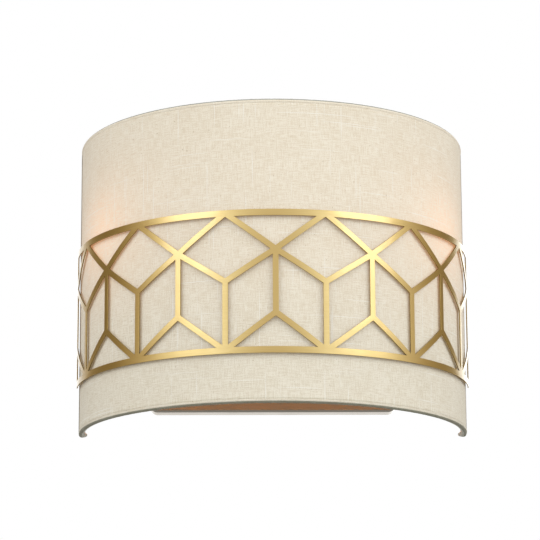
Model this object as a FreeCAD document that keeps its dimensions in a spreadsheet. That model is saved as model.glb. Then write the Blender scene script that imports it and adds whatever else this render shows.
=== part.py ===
import FreeCAD, Part
import math
import os
import re
import Sketcher

# A half-drum fabric wall light with a cut-out metal band, in millimetres.
# The wall is the plane y = 0, the light faces -Y, +Z is up and +X is to the right.
# The origin is the middle of the mounting bar's wall side.

Vector = FreeCAD.Vector

# ---------------------------------------------------------------- driving sizes
# (name, value, what it measures); angles are in degrees
DRIVING_SIZES = [
    ("shade_radius", 165.0, "outside of the linen, half the width of the shade"),
    ("shade_height", 252.0, "rim to rim over the trims"),
    ("wall_gap", 0.5, "air between the shade's back edges and the wall"),
    ("linen_thick", 0.6, "woven linen"),
    ("liner_thick", 0.5, "stiff lining under the linen"),
    ("wire_dia", 3.0, "wires of the shade frame"),
    ("hem_thick", 0.5, "folded trim"),
    ("hem_leg", 3.0, "straight legs of the rim trims"),
    ("side_leg", 6.0, "straight legs of the trims at the back edges"),
    ("trim_gap", 0.15, "room for the wire inside a trim"),
    ("band_gap", 1.8, "air between the linen and the band"),
    ("band_thick", 1.0, "sheet of the band"),
    ("band_height", 118.2, "outer edge to outer edge of the band"),
    ("band_drop", 27.0, "middle of the band below the middle of the shade"),
    ("ring_width", 5.3, "strip along the band's upper and lower edge"),
    ("strip_width", 4.7, "slanted and upright strips of the lattice"),
    ("end_strip_width", 4.0, "upright strip at each end of the band"),
    ("column_angle", 14.0, "angle between two columns of the lattice"),
    ("column_count", 12.0, "columns of the lattice, an even number"),
    ("crossing_rise", 26.0, "upper and lower crossings from the middle of the band"),
    ("rivet_radius", 2.0, "shoulder of a rivet that holds the band off"),
    ("rivet_shank", 1.1, "shank of a rivet"),
    ("rivet_head_radius", 2.3, "closing head of a rivet"),
    ("rivet_head_thick", 0.8, "closing head of a rivet"),
    ("rivet_clear", 0.12, "rivet hole larger than the shank, on the radius"),
    ("rivet_seat", 0.02, "room for a flat rivet face on a curved sheet"),
    ("pan_width", 210.0, "pan against the wall"),
    ("pan_height", 213.0, "pan against the wall"),
    ("pan_depth", 15.0, "pan against the wall"),
    ("pan_thick", 1.0, "sheet of the pan"),
    ("pan_corner", 7.0, "corner radius of the pan"),
    ("pan_bend", 2.0, "bend radius round the pan's face"),
    ("bar_length", 130.0, "mounting bar"),
    ("bar_width", 22.0, "mounting bar"),
    ("bar_thick", 2.5, "mounting bar"),
    ("nipple_hole", 10.2, "plain hole in the middle of the bar"),
    ("box_spacing", 88.9, "junction box screws, centre to centre"),
    ("slot_width", 4.8, "slots for the junction box screws"),
    ("slot_length", 12.0, "slots for the junction box screws, end to end"),
    ("ground_offset", 20.0, "earthing screw from the middle of the bar"),
    ("screw_radius", 2.0, "pan, bracket and earthing screws"),
    ("hole_clear", 0.1, "screw holes larger than the screws, on the radius"),
    ("screw_spacing", 112.0, "screws that hold the pan, centre to centre"),
    ("flush_head_radius", 3.4, "heads let into the back of the bar"),
    ("flush_head_thick", 1.2, "heads let into the back of the bar"),
    ("screw_reach", 5.5, "pan screws in front of the pan"),
    ("nut_flats", 8.0, "domed nuts, across the flats"),
    ("nut_thick", 4.0, "six-sided part of a domed nut"),
    ("nut_dome", 3.7, "radius of a domed nut's dome"),
    ("nut_room", 0.5, "dome below the nut's edge, and bore past the screw's end"),
    ("screw_head_radius", 3.6, "bracket and earthing screw heads"),
    ("screw_head_thick", 2.4, "bracket and earthing screw heads"),
    ("screw_tail", 3.0, "bracket and earthing screws behind what they hold"),
    ("ground_flats", 6.0, "earthing screw, across the flats"),
    ("ground_collar", 0.8, "collar of the earthing screw, its height and its overhang"),
    ("lamp_height", 10.0, "lamps above the middle of the pan"),
    ("lamp_reach", 58.0, "lamps in front of the wall"),
    ("bracket_width", 34.0, "channel that carries the lampholders"),
    ("bracket_height", 50.0, "channel that carries the lampholders"),
    ("bracket_depth", 67.0, "channel that carries the lampholders"),
    ("bracket_thick", 1.2, "sheet of the channel"),
    ("bracket_round", 16.0, "rounded corners of the channel's cheeks"),
    ("bracket_screw_spacing", 34.0, "screws of the channel, centre to centre"),
    ("bushing_radius", 5.0, "neck of the bushing for the leads"),
    ("bushing_bore", 4.2, "bore of the bushing"),
    ("bushing_rim", 1.6, "height and width of the bushing's rims"),
    ("nipple_radius", 4.85, "threaded tubes of the lampholders"),
    ("nipple_bore", 3.4, "threaded tubes of the lampholders"),
    ("nipple_depth", 8.0, "threaded tubes, into the lampholder and into the channel"),
    ("nipple_nut_flats", 14.0, "nuts of the threaded tubes, across the flats"),
    ("nipple_nut_thick", 3.0, "nuts of the threaded tubes"),
    ("thread_clear", 0.06, "between a threaded piece and its nut, on the radius"),
    ("socket_length", 42.0, "lampholder body"),
    ("socket_floor", 2.0, "floor between the tube and the lamp"),
    ("socket_wall", 4.2, "wall round the threaded sleeve"),
    ("socket_neck", 14.0, "radius of the lampholder's foot"),
    ("sleeve_thick", 0.5, "sheet of the threaded sleeve"),
    ("sleeve_length", 26.0, "threaded sleeve"),
    ("contact_radius", 3.5, "centre contact of a lampholder"),
    ("contact_thick", 1.9, "centre contact of a lampholder"),
    ("contact_gap", 0.1, "between the contacts"),
    ("cap_radius", 13.2, "screw cap of a lamp"),
    ("cap_length", 25.0, "screw cap of a lamp"),
    ("cap_clear", 0.08, "between the lamp's cap and the sleeve, on the radius"),
    ("tip_length", 2.0, "tip contact of a lamp"),
    ("tip_radius", 6.0, "tip contact of a lamp, where it meets the cap"),
    ("tip_ring", 1.0, "cap round the tip contact, on the radius"),
    ("cap_shoulder", 3.0, "sloped shoulder of the cap, along the lamp"),
    ("bulb_radius", 30.0, "glass of a lamp"),
    ("bulb_centre", 78.0, "middle of the glass ball from the tip contact"),
    ("bulb_neck", 12.9, "radius of the glass at the cap"),
    ("glass_wall", 1.0, "glass of a lamp"),
    ("lead_dia", 2.8, "leads from the lampholders"),
    ("lead_offset", 2.2, "leads from the middle of the bushing"),
    ("lead_bend", 4.2, "bend radius of the leads"),
    ("block_width", 26.0, "terminal block"),
    ("block_height", 16.0, "terminal block"),
    ("block_depth", 11.0, "terminal block"),
    ("block_rise", 30.0, "terminal block above the lamps"),
    ("well_radius", 2.9, "wells of the terminal block's clamping screws"),
    ("well_depth", 4.0, "wells of the terminal block's clamping screws"),
    ("well_spacing", 13.0, "wells of the terminal block, centre to centre"),
    ("strap_height", 16.0, "straps that carry the shade"),
    ("strap_thick", 1.5, "straps that carry the shade"),
    ("strap_setback", 17.0, "bend of a strap from the outside of the shade, on the width"),
    ("strap_tab", 9.0, "end of a strap that lies along the shade's back edge"),
    ("strap_spacing", 150.0, "upper strap to lower strap"),
    ("stud_radius", 2.05, "studs that the straps sit on"),
    ("stud_length", 18.0, "studs that the straps sit on"),
    ("stud_foot_radius", 2.6, "welded foot of a stud"),
    ("stud_foot_thick", 0.8, "welded foot of a stud"),
    ("washer_radius", 5.5, "washers under the knurled nuts"),
    ("washer_thick", 0.8, "washers under the knurled nuts"),
    ("knurl_radius", 6.5, "knurled nuts"),
    ("knurl_length", 5.0, "knurled part of a nut"),
    ("knurl_depth", 0.45, "grooves of the knurl"),
    ("knurl_width", 1.26, "grooves of the knurl, at the nut's outside"),
    ("knurl_count", 24.0, "grooves of the knurl"),
    ("collar_radius", 4.5, "plain collar of a knurled nut"),
    ("collar_length", 2.0, "plain collar of a knurled nut"),
]

# Sizes that follow from the driving ones, each written once.
WORKED_SIZES = {
    "linen_inner": "shade_radius - linen_thick",
    "liner_inner": "linen_inner - liner_thick",
    "wire_path": "liner_inner - wire_dia / 2",
    "hem_void": "linen_thick + liner_thick + wire_dia + trim_gap",
    "hem_crown": "hem_void / 2",
    "hem_middle": "shade_radius - hem_crown",
    "hem_spring": "shade_height / 2 - hem_thick - hem_crown",
    "back_edge": "wall_gap + hem_thick + hem_crown",
    "band_inner": "shade_radius + band_gap",
    "band_outer": "band_inner + band_thick",
    "row_rise": "(band_height - ring_width) / 2",
    "socket_bore": "cap_radius + cap_clear + sleeve_thick + thread_clear",
    "socket_radius": "socket_bore + socket_wall",
    "bore_floor": "nipple_depth + socket_floor",
    "lamp_start": "bore_floor + contact_thick + contact_gap",
    "cheek_face": "bracket_width / 2",
    "glass_start": "tip_length + cap_length",
    "bulb_waist": "bulb_centre - sqrt(4 * bulb_radius^2 - (bulb_neck + bulb_radius)^2)",
    "pan_front": "pan_depth",
    "strap_front": "pan_front + strap_thick",
    "nut_seat": "strap_front + washer_thick",
    "screw_hole": "screw_radius + hole_clear",
    "tab_face": "shade_radius - hem_void - hem_thick",
    "strap_bend": "shade_radius - strap_setback",
}

document = FreeCAD.newDocument("fabric_shade_wall_light")
sheet = document.addObject("Spreadsheet::Sheet", "Sizes")
for row, (alias, size, meaning) in enumerate(DRIVING_SIZES, start=1):
    sheet.set(f"A{row}", meaning)
    sheet.set(f"B{row}", str(size))
    sheet.setAlias(f"B{row}", alias)
document.recompute()
ALIASES = {alias for alias, size, meaning in DRIVING_SIZES}


def bound(text):
    """An expression on the sheet's cells, from one written with the plain names of the sizes."""
    def spell(match):
        word = match.group()
        if word in WORKED_SIZES:
            return "(" + bound(WORKED_SIZES[word]) + ")"
        return "Sizes." + word if word in ALIASES else word
    return re.sub(r"[a-z][a-z_]*", spell, text)


def size_of(text):
    """The number that such an expression has now."""
    return float(sheet.evalExpression(bound(text)))


def new_body(label, at=("0", "0", "0"), turned="0"):
    """An empty body whose own frame lies at a point and is turned about the upright axis."""
    body = document.addObject("PartDesign::Body", label)
    body.Placement = FreeCAD.Placement(Vector(0, 0, 0), FreeCAD.Rotation(Vector(0, 0, 1), 1))
    for axis, place in zip("xyz", at):
        body.setExpression(f"Placement.Base.{axis}", bound(place))
    body.setExpression("Placement.Rotation.Angle", bound(turned))
    return body


def new_sketch(body, plane, name, height="0", turned="0"):
    """A sketch on one of the body's planes, raised along its normal or turned about its own Y axis."""
    sketch = body.newObject("Sketcher::SketchObject", name)
    for feature in body.Origin.OriginFeatures:
        if feature.Role == plane:
            sketch.AttachmentSupport = [(feature, "")]
    sketch.MapMode = "FlatFace"
    sketch.AttachmentOffset = FreeCAD.Placement(Vector(0, 0, 0), FreeCAD.Rotation(Vector(0, 1, 0), 1))
    sketch.setExpression("AttachmentOffset.Base.z", bound(height))
    sketch.setExpression("AttachmentOffset.Rotation.Angle", bound(turned))
    return sketch


def arc_between(start, end, radius, side):
    """The shorter arc from start to end; its middle lies on the named side of the way from start to end."""
    chord = end - start
    half = chord.Length / 2
    normal = Vector(-chord.y, chord.x, 0).normalize()
    reach = math.sqrt(max(radius * radius - half * half, 0.0))
    centre = (start + end) / 2 + normal * (reach if side == "left" else -reach)
    first, last = (start, end) if side == "left" else (end, start)
    circle = Part.Circle(centre, Vector(0, 0, 1), radius)
    turn_from = math.atan2(first.y - centre.y, first.x - centre.x)
    turn_to = math.atan2(last.y - centre.y, last.x - centre.x)
    return Part.ArcOfCircle(circle, turn_from, turn_to)


def outline(sketch, corners):
    """A closed outline through corners (x, y). A corner (x, y, radius, side) is reached by an arc
    whose centre lies on that side of the way to it."""
    points = [Vector(size_of(c[0]), size_of(c[1]), 0) for c in corners]
    ends = []
    for index, corner in enumerate(corners):
        start = points[index - 1]
        end = points[index]
        if len(corner) == 2:
            line = sketch.addGeometry(Part.LineSegment(start, end))
            ends.append((line, 1, 2))
            continue
        radius, side = corner[2:]
        arc = sketch.addGeometry(arc_between(start, end, size_of(radius), side))
        ends.append((arc, 1, 2) if side == "left" else (arc, 2, 1))
        number = sketch.addConstraint(Sketcher.Constraint("Radius", arc, size_of(radius)))
        sketch.setExpression(f"Constraints[{number}]", bound(radius))
    for index, corner in enumerate(corners):
        piece, first, last = ends[index]
        after, after_first, after_last = ends[(index + 1) % len(corners)]
        sketch.addConstraint(Sketcher.Constraint("Coincident", piece, last, after, after_first))
        for kind, place in (("DistanceX", corner[0]), ("DistanceY", corner[1])):
            rule = Sketcher.Constraint(kind, -1, 1, piece, last, size_of(place))
            number = sketch.addConstraint(rule)
            sketch.setExpression(f"Constraints[{number}]", bound(place))


def circles(sketch, places, radius):
    """A full circle of one radius round each place (x, y)."""
    for place in places:
        centre = Vector(size_of(place[0]), size_of(place[1]), 0)
        ring = sketch.addGeometry(Part.Circle(centre, Vector(0, 0, 1), size_of(radius)))
        number = sketch.addConstraint(Sketcher.Constraint("Radius", ring, size_of(radius)))
        sketch.setExpression(f"Constraints[{number}]", bound(radius))
        for kind, text in (("DistanceX", place[0]), ("DistanceY", place[1])):
            rule = Sketcher.Constraint(kind, -1, 1, ring, 3, size_of(text))
            number = sketch.addConstraint(rule)
            sketch.setExpression(f"Constraints[{number}]", bound(text))


def hexagon(sketch, flats):
    """A six-sided nut outline round the sketch's origin, from the width across its flats."""
    corner = f"({flats}) / sqrt(3)"
    half = f"({flats}) / 2"
    outline(sketch, [(corner, "0"), (f"{corner} / 2", half), (f"-{corner} / 2", half),
                     (f"-{corner}", "0"), (f"-{corner} / 2", f"-{half}"), (f"{corner} / 2", f"-{half}")])


def pad(body, sketch, length, both_sides=False, backwards=False):
    feature = body.newObject("PartDesign::Pad", "Pad")
    feature.Profile = sketch
    feature.Midplane = both_sides
    feature.Reversed = backwards
    feature.setExpression("Length", bound(length))
    document.recompute()
    return feature


def cut_through(body, sketch, backwards=False):
    """Cuts the sketch's outlines through the whole body on one side of the sketch."""
    before = body.Tip.Shape.Volume
    feature = body.newObject("PartDesign::Pocket", "Cut")
    feature.Profile = sketch
    feature.Type = "ThroughAll"
    feature.Reversed = backwards
    document.recompute()
    if not feature.Shape.Volume < before:
        raise RuntimeError(f"a cut in {body.Label} removes nothing")
    return feature


def cut_depth(body, sketch, depth, backwards=False):
    before = body.Tip.Shape.Volume
    feature = body.newObject("PartDesign::Pocket", "Recess")
    feature.Profile = sketch
    feature.Reversed = backwards
    feature.setExpression("Length", bound(depth))
    document.recompute()
    if not feature.Shape.Volume < before:
        raise RuntimeError(f"a recess in {body.Label} removes nothing")
    return feature


def turn(body, sketch, axis, angle="360", both_sides=False):
    """Revolves the sketch about its own upright (V_Axis) or level (H_Axis) axis."""
    feature = body.newObject("PartDesign::Revolution", "Turned")
    feature.Profile = sketch
    feature.ReferenceAxis = (sketch, [axis])
    feature.Midplane = both_sides
    feature.setExpression("Angle", bound(angle))
    document.recompute()
    return feature


def round_edges(body, wanted, radius):
    """Rounds those edges of the body's last feature for which wanted(edge) is true."""
    base = body.Tip
    names = [f"Edge{i}" for i, edge in enumerate(base.Shape.Edges, start=1) if wanted(edge)]
    feature = body.newObject("PartDesign::Fillet", "Rounded")
    feature.Base = (base, names)
    feature.setExpression("Radius", bound(radius))
    document.recompute()
    return feature


def repeat_in_line(body, originals, sketch, axis, length, count=2):
    feature = body.newObject("PartDesign::LinearPattern", "Repeated")
    feature.Originals = originals
    feature.Direction = (sketch, [axis])
    feature.Occurrences = count
    feature.setExpression("Length", bound(length))
    body.Tip = feature
    document.recompute()
    return feature


def repeat_round(body, originals, axis, angle, count):
    feature = body.newObject("PartDesign::PolarPattern", "RepeatedRound")
    feature.Originals = originals
    feature.Axis = axis
    feature.setExpression("Angle", bound(angle))
    feature.setExpression("Occurrences", bound(count))
    body.Tip = feature
    document.recompute()
    return feature


def turned_piece(label, corners, at, turned="0"):
    """A solid of revolution about its own level axis, from corners (along, radius)."""
    body = new_body(label, at, turned)
    profile = new_sketch(body, "XY_Plane", "Profile")
    outline(profile, corners)
    turn(body, profile, "H_Axis")
    return body


# ---------------------------------------------------------------- the shade
def shade_sheet(label, inner, outer):
    """One layer of the half drum, with the holes of the band's rivets."""
    body = new_body(label)
    profile = new_sketch(body, "YZ_Plane", "Profile")
    outline(profile, [(f"-({outer})", "-hem_spring"), (f"-({inner})", "-hem_spring"),
                      (f"-({inner})", "hem_spring"), (f"-({outer})", "hem_spring")])
    turn(body, profile, "V_Axis", "2 * acos(back_edge / shade_radius)", both_sides=True)
    holes = new_sketch(body, "XZ_Plane", "RivetHoles", turned="-column_angle * (column_count / 2 - 1)")
    circles(holes, [("0", "row_rise - band_drop"), ("0", "-row_rise - band_drop")],
            "rivet_shank + rivet_clear")
    first = cut_through(body, holes, backwards=True)
    spread = "column_angle * (column_count - 2)"
    repeat_round(body, [first], (profile, ["V_Axis"]), spread, "column_count / 2")
    return body


def rim_trim(label, side):
    """Folded tape over a rim: two legs and a round crown. side is 1 for the top rim, -1 for the bottom."""
    sign = "" if side > 0 else "-"
    spring = f"{sign}hem_spring"
    crest = f"{sign}(hem_spring + hem_crown + hem_thick)"
    inner_crest = f"{sign}(hem_spring + hem_crown)"
    foot = f"{sign}(hem_spring - hem_leg)"
    over = "left" if side > 0 else "right"
    back = "right" if side > 0 else "left"
    body = new_body(label)
    profile = new_sketch(body, "YZ_Plane", "Profile")
    outline(profile, [
        ("-(shade_radius - hem_void)", foot),
        ("-(shade_radius - hem_void - hem_thick)", foot),
        ("-(shade_radius - hem_void - hem_thick)", spring),
        ("-hem_middle", crest, "hem_crown + hem_thick", over),
        ("-(shade_radius + hem_thick)", spring, "hem_crown + hem_thick", over),
        ("-(shade_radius + hem_thick)", foot),
        ("-shade_radius", foot),
        ("-shade_radius", spring),
        ("-hem_middle", inner_crest, "hem_crown", back),
        ("-(shade_radius - hem_void)", spring, "hem_crown", back),
    ])
    turn(body, profile, "V_Axis", "2 * acos(wall_gap / shade_radius)", both_sides=True)
    return body


def edge_trim(label, side):
    """Folded tape down a back edge, between the rim trims. side is 1 for the right, -1 for the left."""
    sign = "" if side > 0 else "-"
    inward = "left" if side > 0 else "right"
    outward = "right" if side > 0 else "left"
    body = new_body(label)
    profile = new_sketch(body, "XY_Plane", "Profile")
    outline(profile, [
        (f"{sign}(shade_radius + hem_thick)", "-(back_edge + side_leg)"),
        (f"{sign}(shade_radius + hem_thick)", "-back_edge"),
        (f"{sign}hem_middle", "-wall_gap", "hem_crown + hem_thick", inward),
        (f"{sign}(shade_radius - hem_void - hem_thick)", "-back_edge", "hem_crown + hem_thick", inward),
        (f"{sign}(shade_radius - hem_void - hem_thick)", "-(back_edge + side_leg)"),
        (f"{sign}(shade_radius - hem_void)", "-(back_edge + side_leg)"),
        (f"{sign}(shade_radius - hem_void)", "-back_edge"),
        (f"{sign}hem_middle", "-(wall_gap + hem_thick)", "hem_crown", outward),
        (f"{sign}shade_radius", "-back_edge", "hem_crown", outward),
        (f"{sign}shade_radius", "-(back_edge + side_leg)"),
    ])
    pad(body, profile, "2 * (hem_spring - hem_leg)", both_sides=True)
    return body


def rim_wire(label, side):
    """Half ring of wire inside a rim trim."""
    body = new_body(label)
    profile = new_sketch(body, "YZ_Plane", "Profile")
    circles(profile, [("-wire_path", "hem_spring" if side > 0 else "-hem_spring")], "wire_dia / 2")
    turn(body, profile, "V_Axis", "2 * acos(back_edge / shade_radius)", both_sides=True)
    return body


def end_wire(label, side):
    """Upright wire between the rim wires, inside a back edge."""
    sign = "" if side > 0 else "-"
    wire = document.addObject("Part::Cylinder", label)
    wire.setExpression("Radius", bound("wire_dia / 2"))
    wire.setExpression("Height", bound("2 * hem_spring - wire_dia"))
    wire.setExpression("Placement.Base.x", bound(f"{sign}wire_path * sin(acos(back_edge / wire_path))"))
    wire.setExpression("Placement.Base.y", bound("-back_edge"))
    wire.setExpression("Placement.Base.z", bound("wire_dia / 2 - hem_spring"))
    document.recompute()
    return wire


def strap(label, side):
    """Flat strip across the pan's face. Its ends bend back and lie along the shade's back edges."""
    body = new_body(label, ("0", "0", "strap_spacing / 2" if side > 0 else "-strap_spacing / 2"))
    plan = new_sketch(body, "XY_Plane", "Plan")
    half = [
        ("strap_bend", "-strap_front"),
        ("tab_face", "-(back_edge + strap_tab)"),
        ("tab_face", "-back_edge"),
        ("tab_face - strap_thick", "-back_edge"),
        ("tab_face - strap_thick", "-(back_edge + strap_tab) + strap_thick / 2"),
        ("strap_bend - strap_thick / 2", "-pan_front"),
    ]
    other = [(f"-({x})", y) for x, y in reversed(half)]
    outline(plan, half + other)
    pad(body, plan, "strap_height", both_sides=True)
    hole = new_sketch(body, "XZ_Plane", "StudHole")
    circles(hole, [("0", "0")], "stud_foot_radius + hole_clear")
    cut_through(body, hole, backwards=True)
    return body


# ---------------------------------------------------------------- the band
def lattice_windows():
    """The openings of the lattice as (column, height) corners, columns counted from the middle.
    Odd columns have a strip from the middle down to the lower ring, even ones a strip from the upper
    crossing down to the lower one, and slanted strips join each crossing to both neighbours."""
    last = round(size_of("column_count / 2"))
    top = size_of("row_rise")
    rise = size_of("crossing_rise")
    windows = []
    for column in range(-last, last + 1):
        left = max(column - 1, -last)
        right = min(column + 1, last)
        if column % 2 == 0:
            windows.append([(left, top), (column, rise), (right, top)])
            windows.append([(left, -top), (right, -top), (column, -rise)])
        else:
            windows.append([(column, top), (left, rise), (column, 0.0), (right, rise)])
            windows.append([(left, rise), (left, -rise), (column, -top), (column, 0.0)])
            windows.append([(column, 0.0), (column, -top), (right, -rise), (right, rise)])
    return windows


def inset(corners, margins):
    """The outline moved inwards on each side by that side's margin. corners run anticlockwise."""
    count = len(corners)
    lines = []
    for index in range(count):
        a = corners[index]
        b = corners[(index + 1) % count]
        way = (b - a).normalize()
        inward = Vector(-way.y, way.x, 0)
        lines.append((a + inward * margins[index], way))
    moved = []
    for index in range(count):
        a, u = lines[index - 1]
        b, v = lines[index]
        share = ((b.x - a.x) * v.y - (b.y - a.y) * v.x) / (u.x * v.y - u.y * v.x)
        moved.append(a + u * share)
    return moved


def on_cylinder(point, radius):
    """A point of the unrolled band, (length round the outside, height), at a radius from the axis."""
    angle = point.x / size_of("band_outer")
    return Vector(radius * math.sin(angle), -radius * math.cos(angle), point.y)


def window_cutter(corners):
    """A solid that narrows towards the axis, so that every window edge is cut square to the sheet.
    It starts a little inside the sheet. Its outer end is straight between corners up to two columns
    apart, so it stands far enough out to clear the sheet at the middle of such a chord."""
    wires = []
    for radius in (size_of("0.95 * band_inner"), size_of("1.05 * band_outer / cos(column_angle)")):
        ring = [on_cylinder(corner, radius) for corner in corners]
        wires.append(Part.makePolygon(ring + [ring[0]]))
    return Part.makeLoft(wires, True, True)


def band_margin(start, end):
    """Half the width of the strip along a window's side."""
    last = size_of("column_count / 2")
    if abs(start[1]) == abs(end[1]) == size_of("row_rise"):
        return size_of("ring_width / 2")
    if abs(start[0]) == abs(end[0]) == last:
        return size_of("end_strip_width / 2")
    return size_of("strip_width / 2")


def lattice_band():
    """Sheet rolled to the shade's curve, with every window cut square to it."""
    column_width = math.radians(size_of("column_angle")) * size_of("band_outer")
    reach = size_of("column_angle * column_count") + math.degrees(size_of("end_strip_width / band_outer"))
    height = size_of("band_height")
    foot = Vector(0, 0, -height / 2)
    outer = Part.makeCylinder(size_of("band_outer"), height, foot, Vector(0, 0, 1), reach)
    inner = Part.makeCylinder(size_of("band_inner"), height, foot, Vector(0, 0, 1), reach)
    blank = outer.cut(inner)
    blank.rotate(Vector(0, 0, 0), Vector(0, 0, 1), -90 - reach / 2)
    cutters = []
    for corners in lattice_windows():
        margins = [band_margin(a, b) for a, b in zip(corners, corners[1:] + corners[:1])]
        points = [Vector(column * column_width, rise, 0) for column, rise in corners]
        area = sum(a.x * b.y - b.x * a.y for a, b in zip(points, points[1:] + points[:1]))
        if area < 0:
            points = points[::-1]
            margins = margins[-2::-1] + margins[-1:]
        cutters.append(window_cutter(inset(points, margins)))
    band = document.addObject("Part::Feature", "lattice_band")
    band.Shape = blank.cut(cutters)
    band.Placement = FreeCAD.Placement(Vector(0, 0, -size_of("band_drop")), FreeCAD.Rotation())
    return band


def band_rivets():
    """Rivets behind the rings of the band: a shoulder keeps the band off the linen, a shank passes
    the linen and the lining, and a head closes on the lining."""
    body = new_body("band_rivets", turned="-column_angle * (column_count / 2 - 1)")
    rows = []
    for name, sign in (("Upper", ""), ("Lower", "-")):
        profile = new_sketch(body, "XY_Plane", name, height=f"{sign}row_rise - band_drop")
        outline(profile, [
            ("0", "-(band_inner - rivet_seat)"),
            ("rivet_radius", "-(band_inner - rivet_seat)"),
            ("rivet_radius", "-shade_radius"),
            ("rivet_shank", "-shade_radius"),
            ("rivet_shank", "-(liner_inner - rivet_seat)"),
            ("rivet_head_radius", "-(liner_inner - rivet_seat)"),
            ("rivet_head_radius", "-(liner_inner - rivet_seat - rivet_head_thick)"),
            ("0", "-(liner_inner - rivet_seat - rivet_head_thick)"),
        ])
        rows.append(turn(body, profile, "V_Axis"))
    upright = [f for f in body.Origin.OriginFeatures if f.Role == "Z_Axis"][0]
    repeat_round(body, rows, (upright, [""]), "column_angle * (column_count - 2)", "column_count / 2")
    return body


# ---------------------------------------------------------------- the wall side
def rounded_box(sketch, half_width, half_height, radius):
    """A rectangle round the sketch's origin with quarter-round corners."""
    corners = []
    for x, y in (("", ""), ("-", ""), ("-", "-"), ("", "-")):
        upright = (f"{x}({half_width})", f"{y}({half_height} - {radius})")
        level = (f"{x}({half_width} - {radius})", f"{y}({half_height})")
        first, second = (upright, level) if x == y else (level, upright)
        corners += [first, second + (radius, "left")]
    outline(sketch, corners)


def round_face(body, depth, radius):
    """Rounds the edges that lie at that depth, where a face meets the walls round it."""
    face = -size_of(depth)
    round_edges(body, lambda e: all(abs(v.Point.y - face) < 1e-6 for v in e.Vertexes), radius)


def back_plate():
    """Pressed sheet pan, open towards the wall."""
    body = new_body("back_plate")
    face = new_sketch(body, "XZ_Plane", "Face")
    rounded_box(face, "pan_width / 2", "pan_height / 2", "pan_corner")
    pad(body, face, "pan_depth")
    round_face(body, "pan_depth", "pan_bend")
    room = new_sketch(body, "XZ_Plane", "Room")
    rounded_box(room, "pan_width / 2 - pan_thick", "pan_height / 2 - pan_thick", "(pan_corner - pan_thick)")
    cut_depth(body, room, "pan_depth - pan_thick", backwards=True)
    round_face(body, "pan_depth - pan_thick", "pan_bend - pan_thick")
    holes = new_sketch(body, "XZ_Plane", "ScrewHoles")
    circles(holes, [("-screw_spacing / 2", "0"), ("screw_spacing / 2", "0"),
                    ("0", "lamp_height - bracket_screw_spacing / 2"),
                    ("0", "lamp_height + bracket_screw_spacing / 2")], "screw_hole")
    circles(holes, [("0", "lamp_height")], "bushing_radius + hole_clear")
    cut_through(body, holes, backwards=True)
    return body


def mounting_bar():
    """Flat bar that is screwed to the junction box through its slots."""
    body = new_body("mounting_bar")
    face = new_sketch(body, "XZ_Plane", "Face")
    outline(face, [("-bar_length / 2", "-bar_width / 2"), ("bar_length / 2", "-bar_width / 2"),
                   ("bar_length / 2", "bar_width / 2"), ("-bar_length / 2", "bar_width / 2")])
    pad(body, face, "bar_thick")
    holes = new_sketch(body, "XZ_Plane", "Holes")
    circles(holes, [("0", "0")], "nipple_hole / 2")
    circles(holes, [("-screw_spacing / 2", "0"), ("screw_spacing / 2", "0"), ("-ground_offset", "0")],
            "screw_hole")
    for sign in ("-", ""):
        slot(holes, f"{sign}box_spacing / 2")
    cut_through(body, holes, backwards=True)
    seats = new_sketch(body, "XZ_Plane", "HeadSeats")
    circles(seats, [("-screw_spacing / 2", "0"), ("screw_spacing / 2", "0")],
            "flush_head_radius + hole_clear")
    cut_depth(body, seats, "flush_head_thick", backwards=True)
    return body


def slot(sketch, middle):
    """A level slot with round ends."""
    run = "(slot_length - slot_width) / 2"
    left = f"{middle} - {run}"
    right = f"{middle} + {run}"
    tip = "slot_length / 2"
    outline(sketch, [
        (right, "-slot_width / 2"),
        (f"{middle} + {tip}", "0", "slot_width / 2", "left"),
        (right, "slot_width / 2", "slot_width / 2", "left"),
        (left, "slot_width / 2"),
        (f"{middle} - {tip}", "0", "slot_width / 2", "left"),
        (left, "-slot_width / 2", "slot_width / 2", "left"),
    ])


def pan_screws():
    """Studs let into the back of the bar, through the pan's face."""
    body = new_body("pan_screws", ("-screw_spacing / 2", "0", "0"))
    profile = new_sketch(body, "XY_Plane", "Profile")
    outline(profile, [("0", "0"), ("flush_head_radius", "0"), ("flush_head_radius", "-flush_head_thick"),
                      ("screw_radius", "-flush_head_thick"), ("screw_radius", "-(pan_front + screw_reach)"),
                      ("0", "-(pan_front + screw_reach)")])
    first = turn(body, profile, "V_Axis")
    repeat_in_line(body, [first], profile, "H_Axis", "screw_spacing")
    return body


def cap_nuts():
    """Domed nuts on the pan's face."""
    body = new_body("cap_nuts", ("-screw_spacing / 2", "-pan_front", "0"))
    base = new_sketch(body, "XZ_Plane", "Base")
    hexagon(base, "nut_flats")
    nut = pad(body, base, "nut_thick")
    dome = new_sketch(body, "XY_Plane", "Dome")
    outline(dome, [("0", "-(nut_thick - nut_room)"), ("nut_dome", "-(nut_thick - nut_room)"),
                   ("nut_dome", "-nut_thick"), ("0", "-(nut_thick + nut_dome)", "nut_dome", "right")])
    top = turn(body, dome, "V_Axis")
    bore = new_sketch(body, "XZ_Plane", "Bore")
    circles(bore, [("0", "0")], "screw_radius + thread_clear")
    hole = cut_depth(body, bore, "screw_reach + nut_room", backwards=True)
    repeat_in_line(body, [nut, top, hole], dome, "H_Axis", "screw_spacing")
    return body


def ground_screw():
    """Six-sided screw with a collar, in the bar."""
    body = new_body("ground_screw", ("-ground_offset", "-bar_thick", "0"))
    head = new_sketch(body, "XZ_Plane", "Head")
    hexagon(head, "ground_flats")
    pad(body, head, "screw_head_thick")
    profile = new_sketch(body, "XY_Plane", "Shank")
    rim = "screw_head_radius + ground_collar"
    outline(profile, [("0", "-ground_collar"), (rim, "-ground_collar"), (rim, "0"),
                      ("screw_radius", "0"), ("screw_radius", "bar_thick"), ("0", "bar_thick")])
    turn(body, profile, "V_Axis")
    return body


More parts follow.
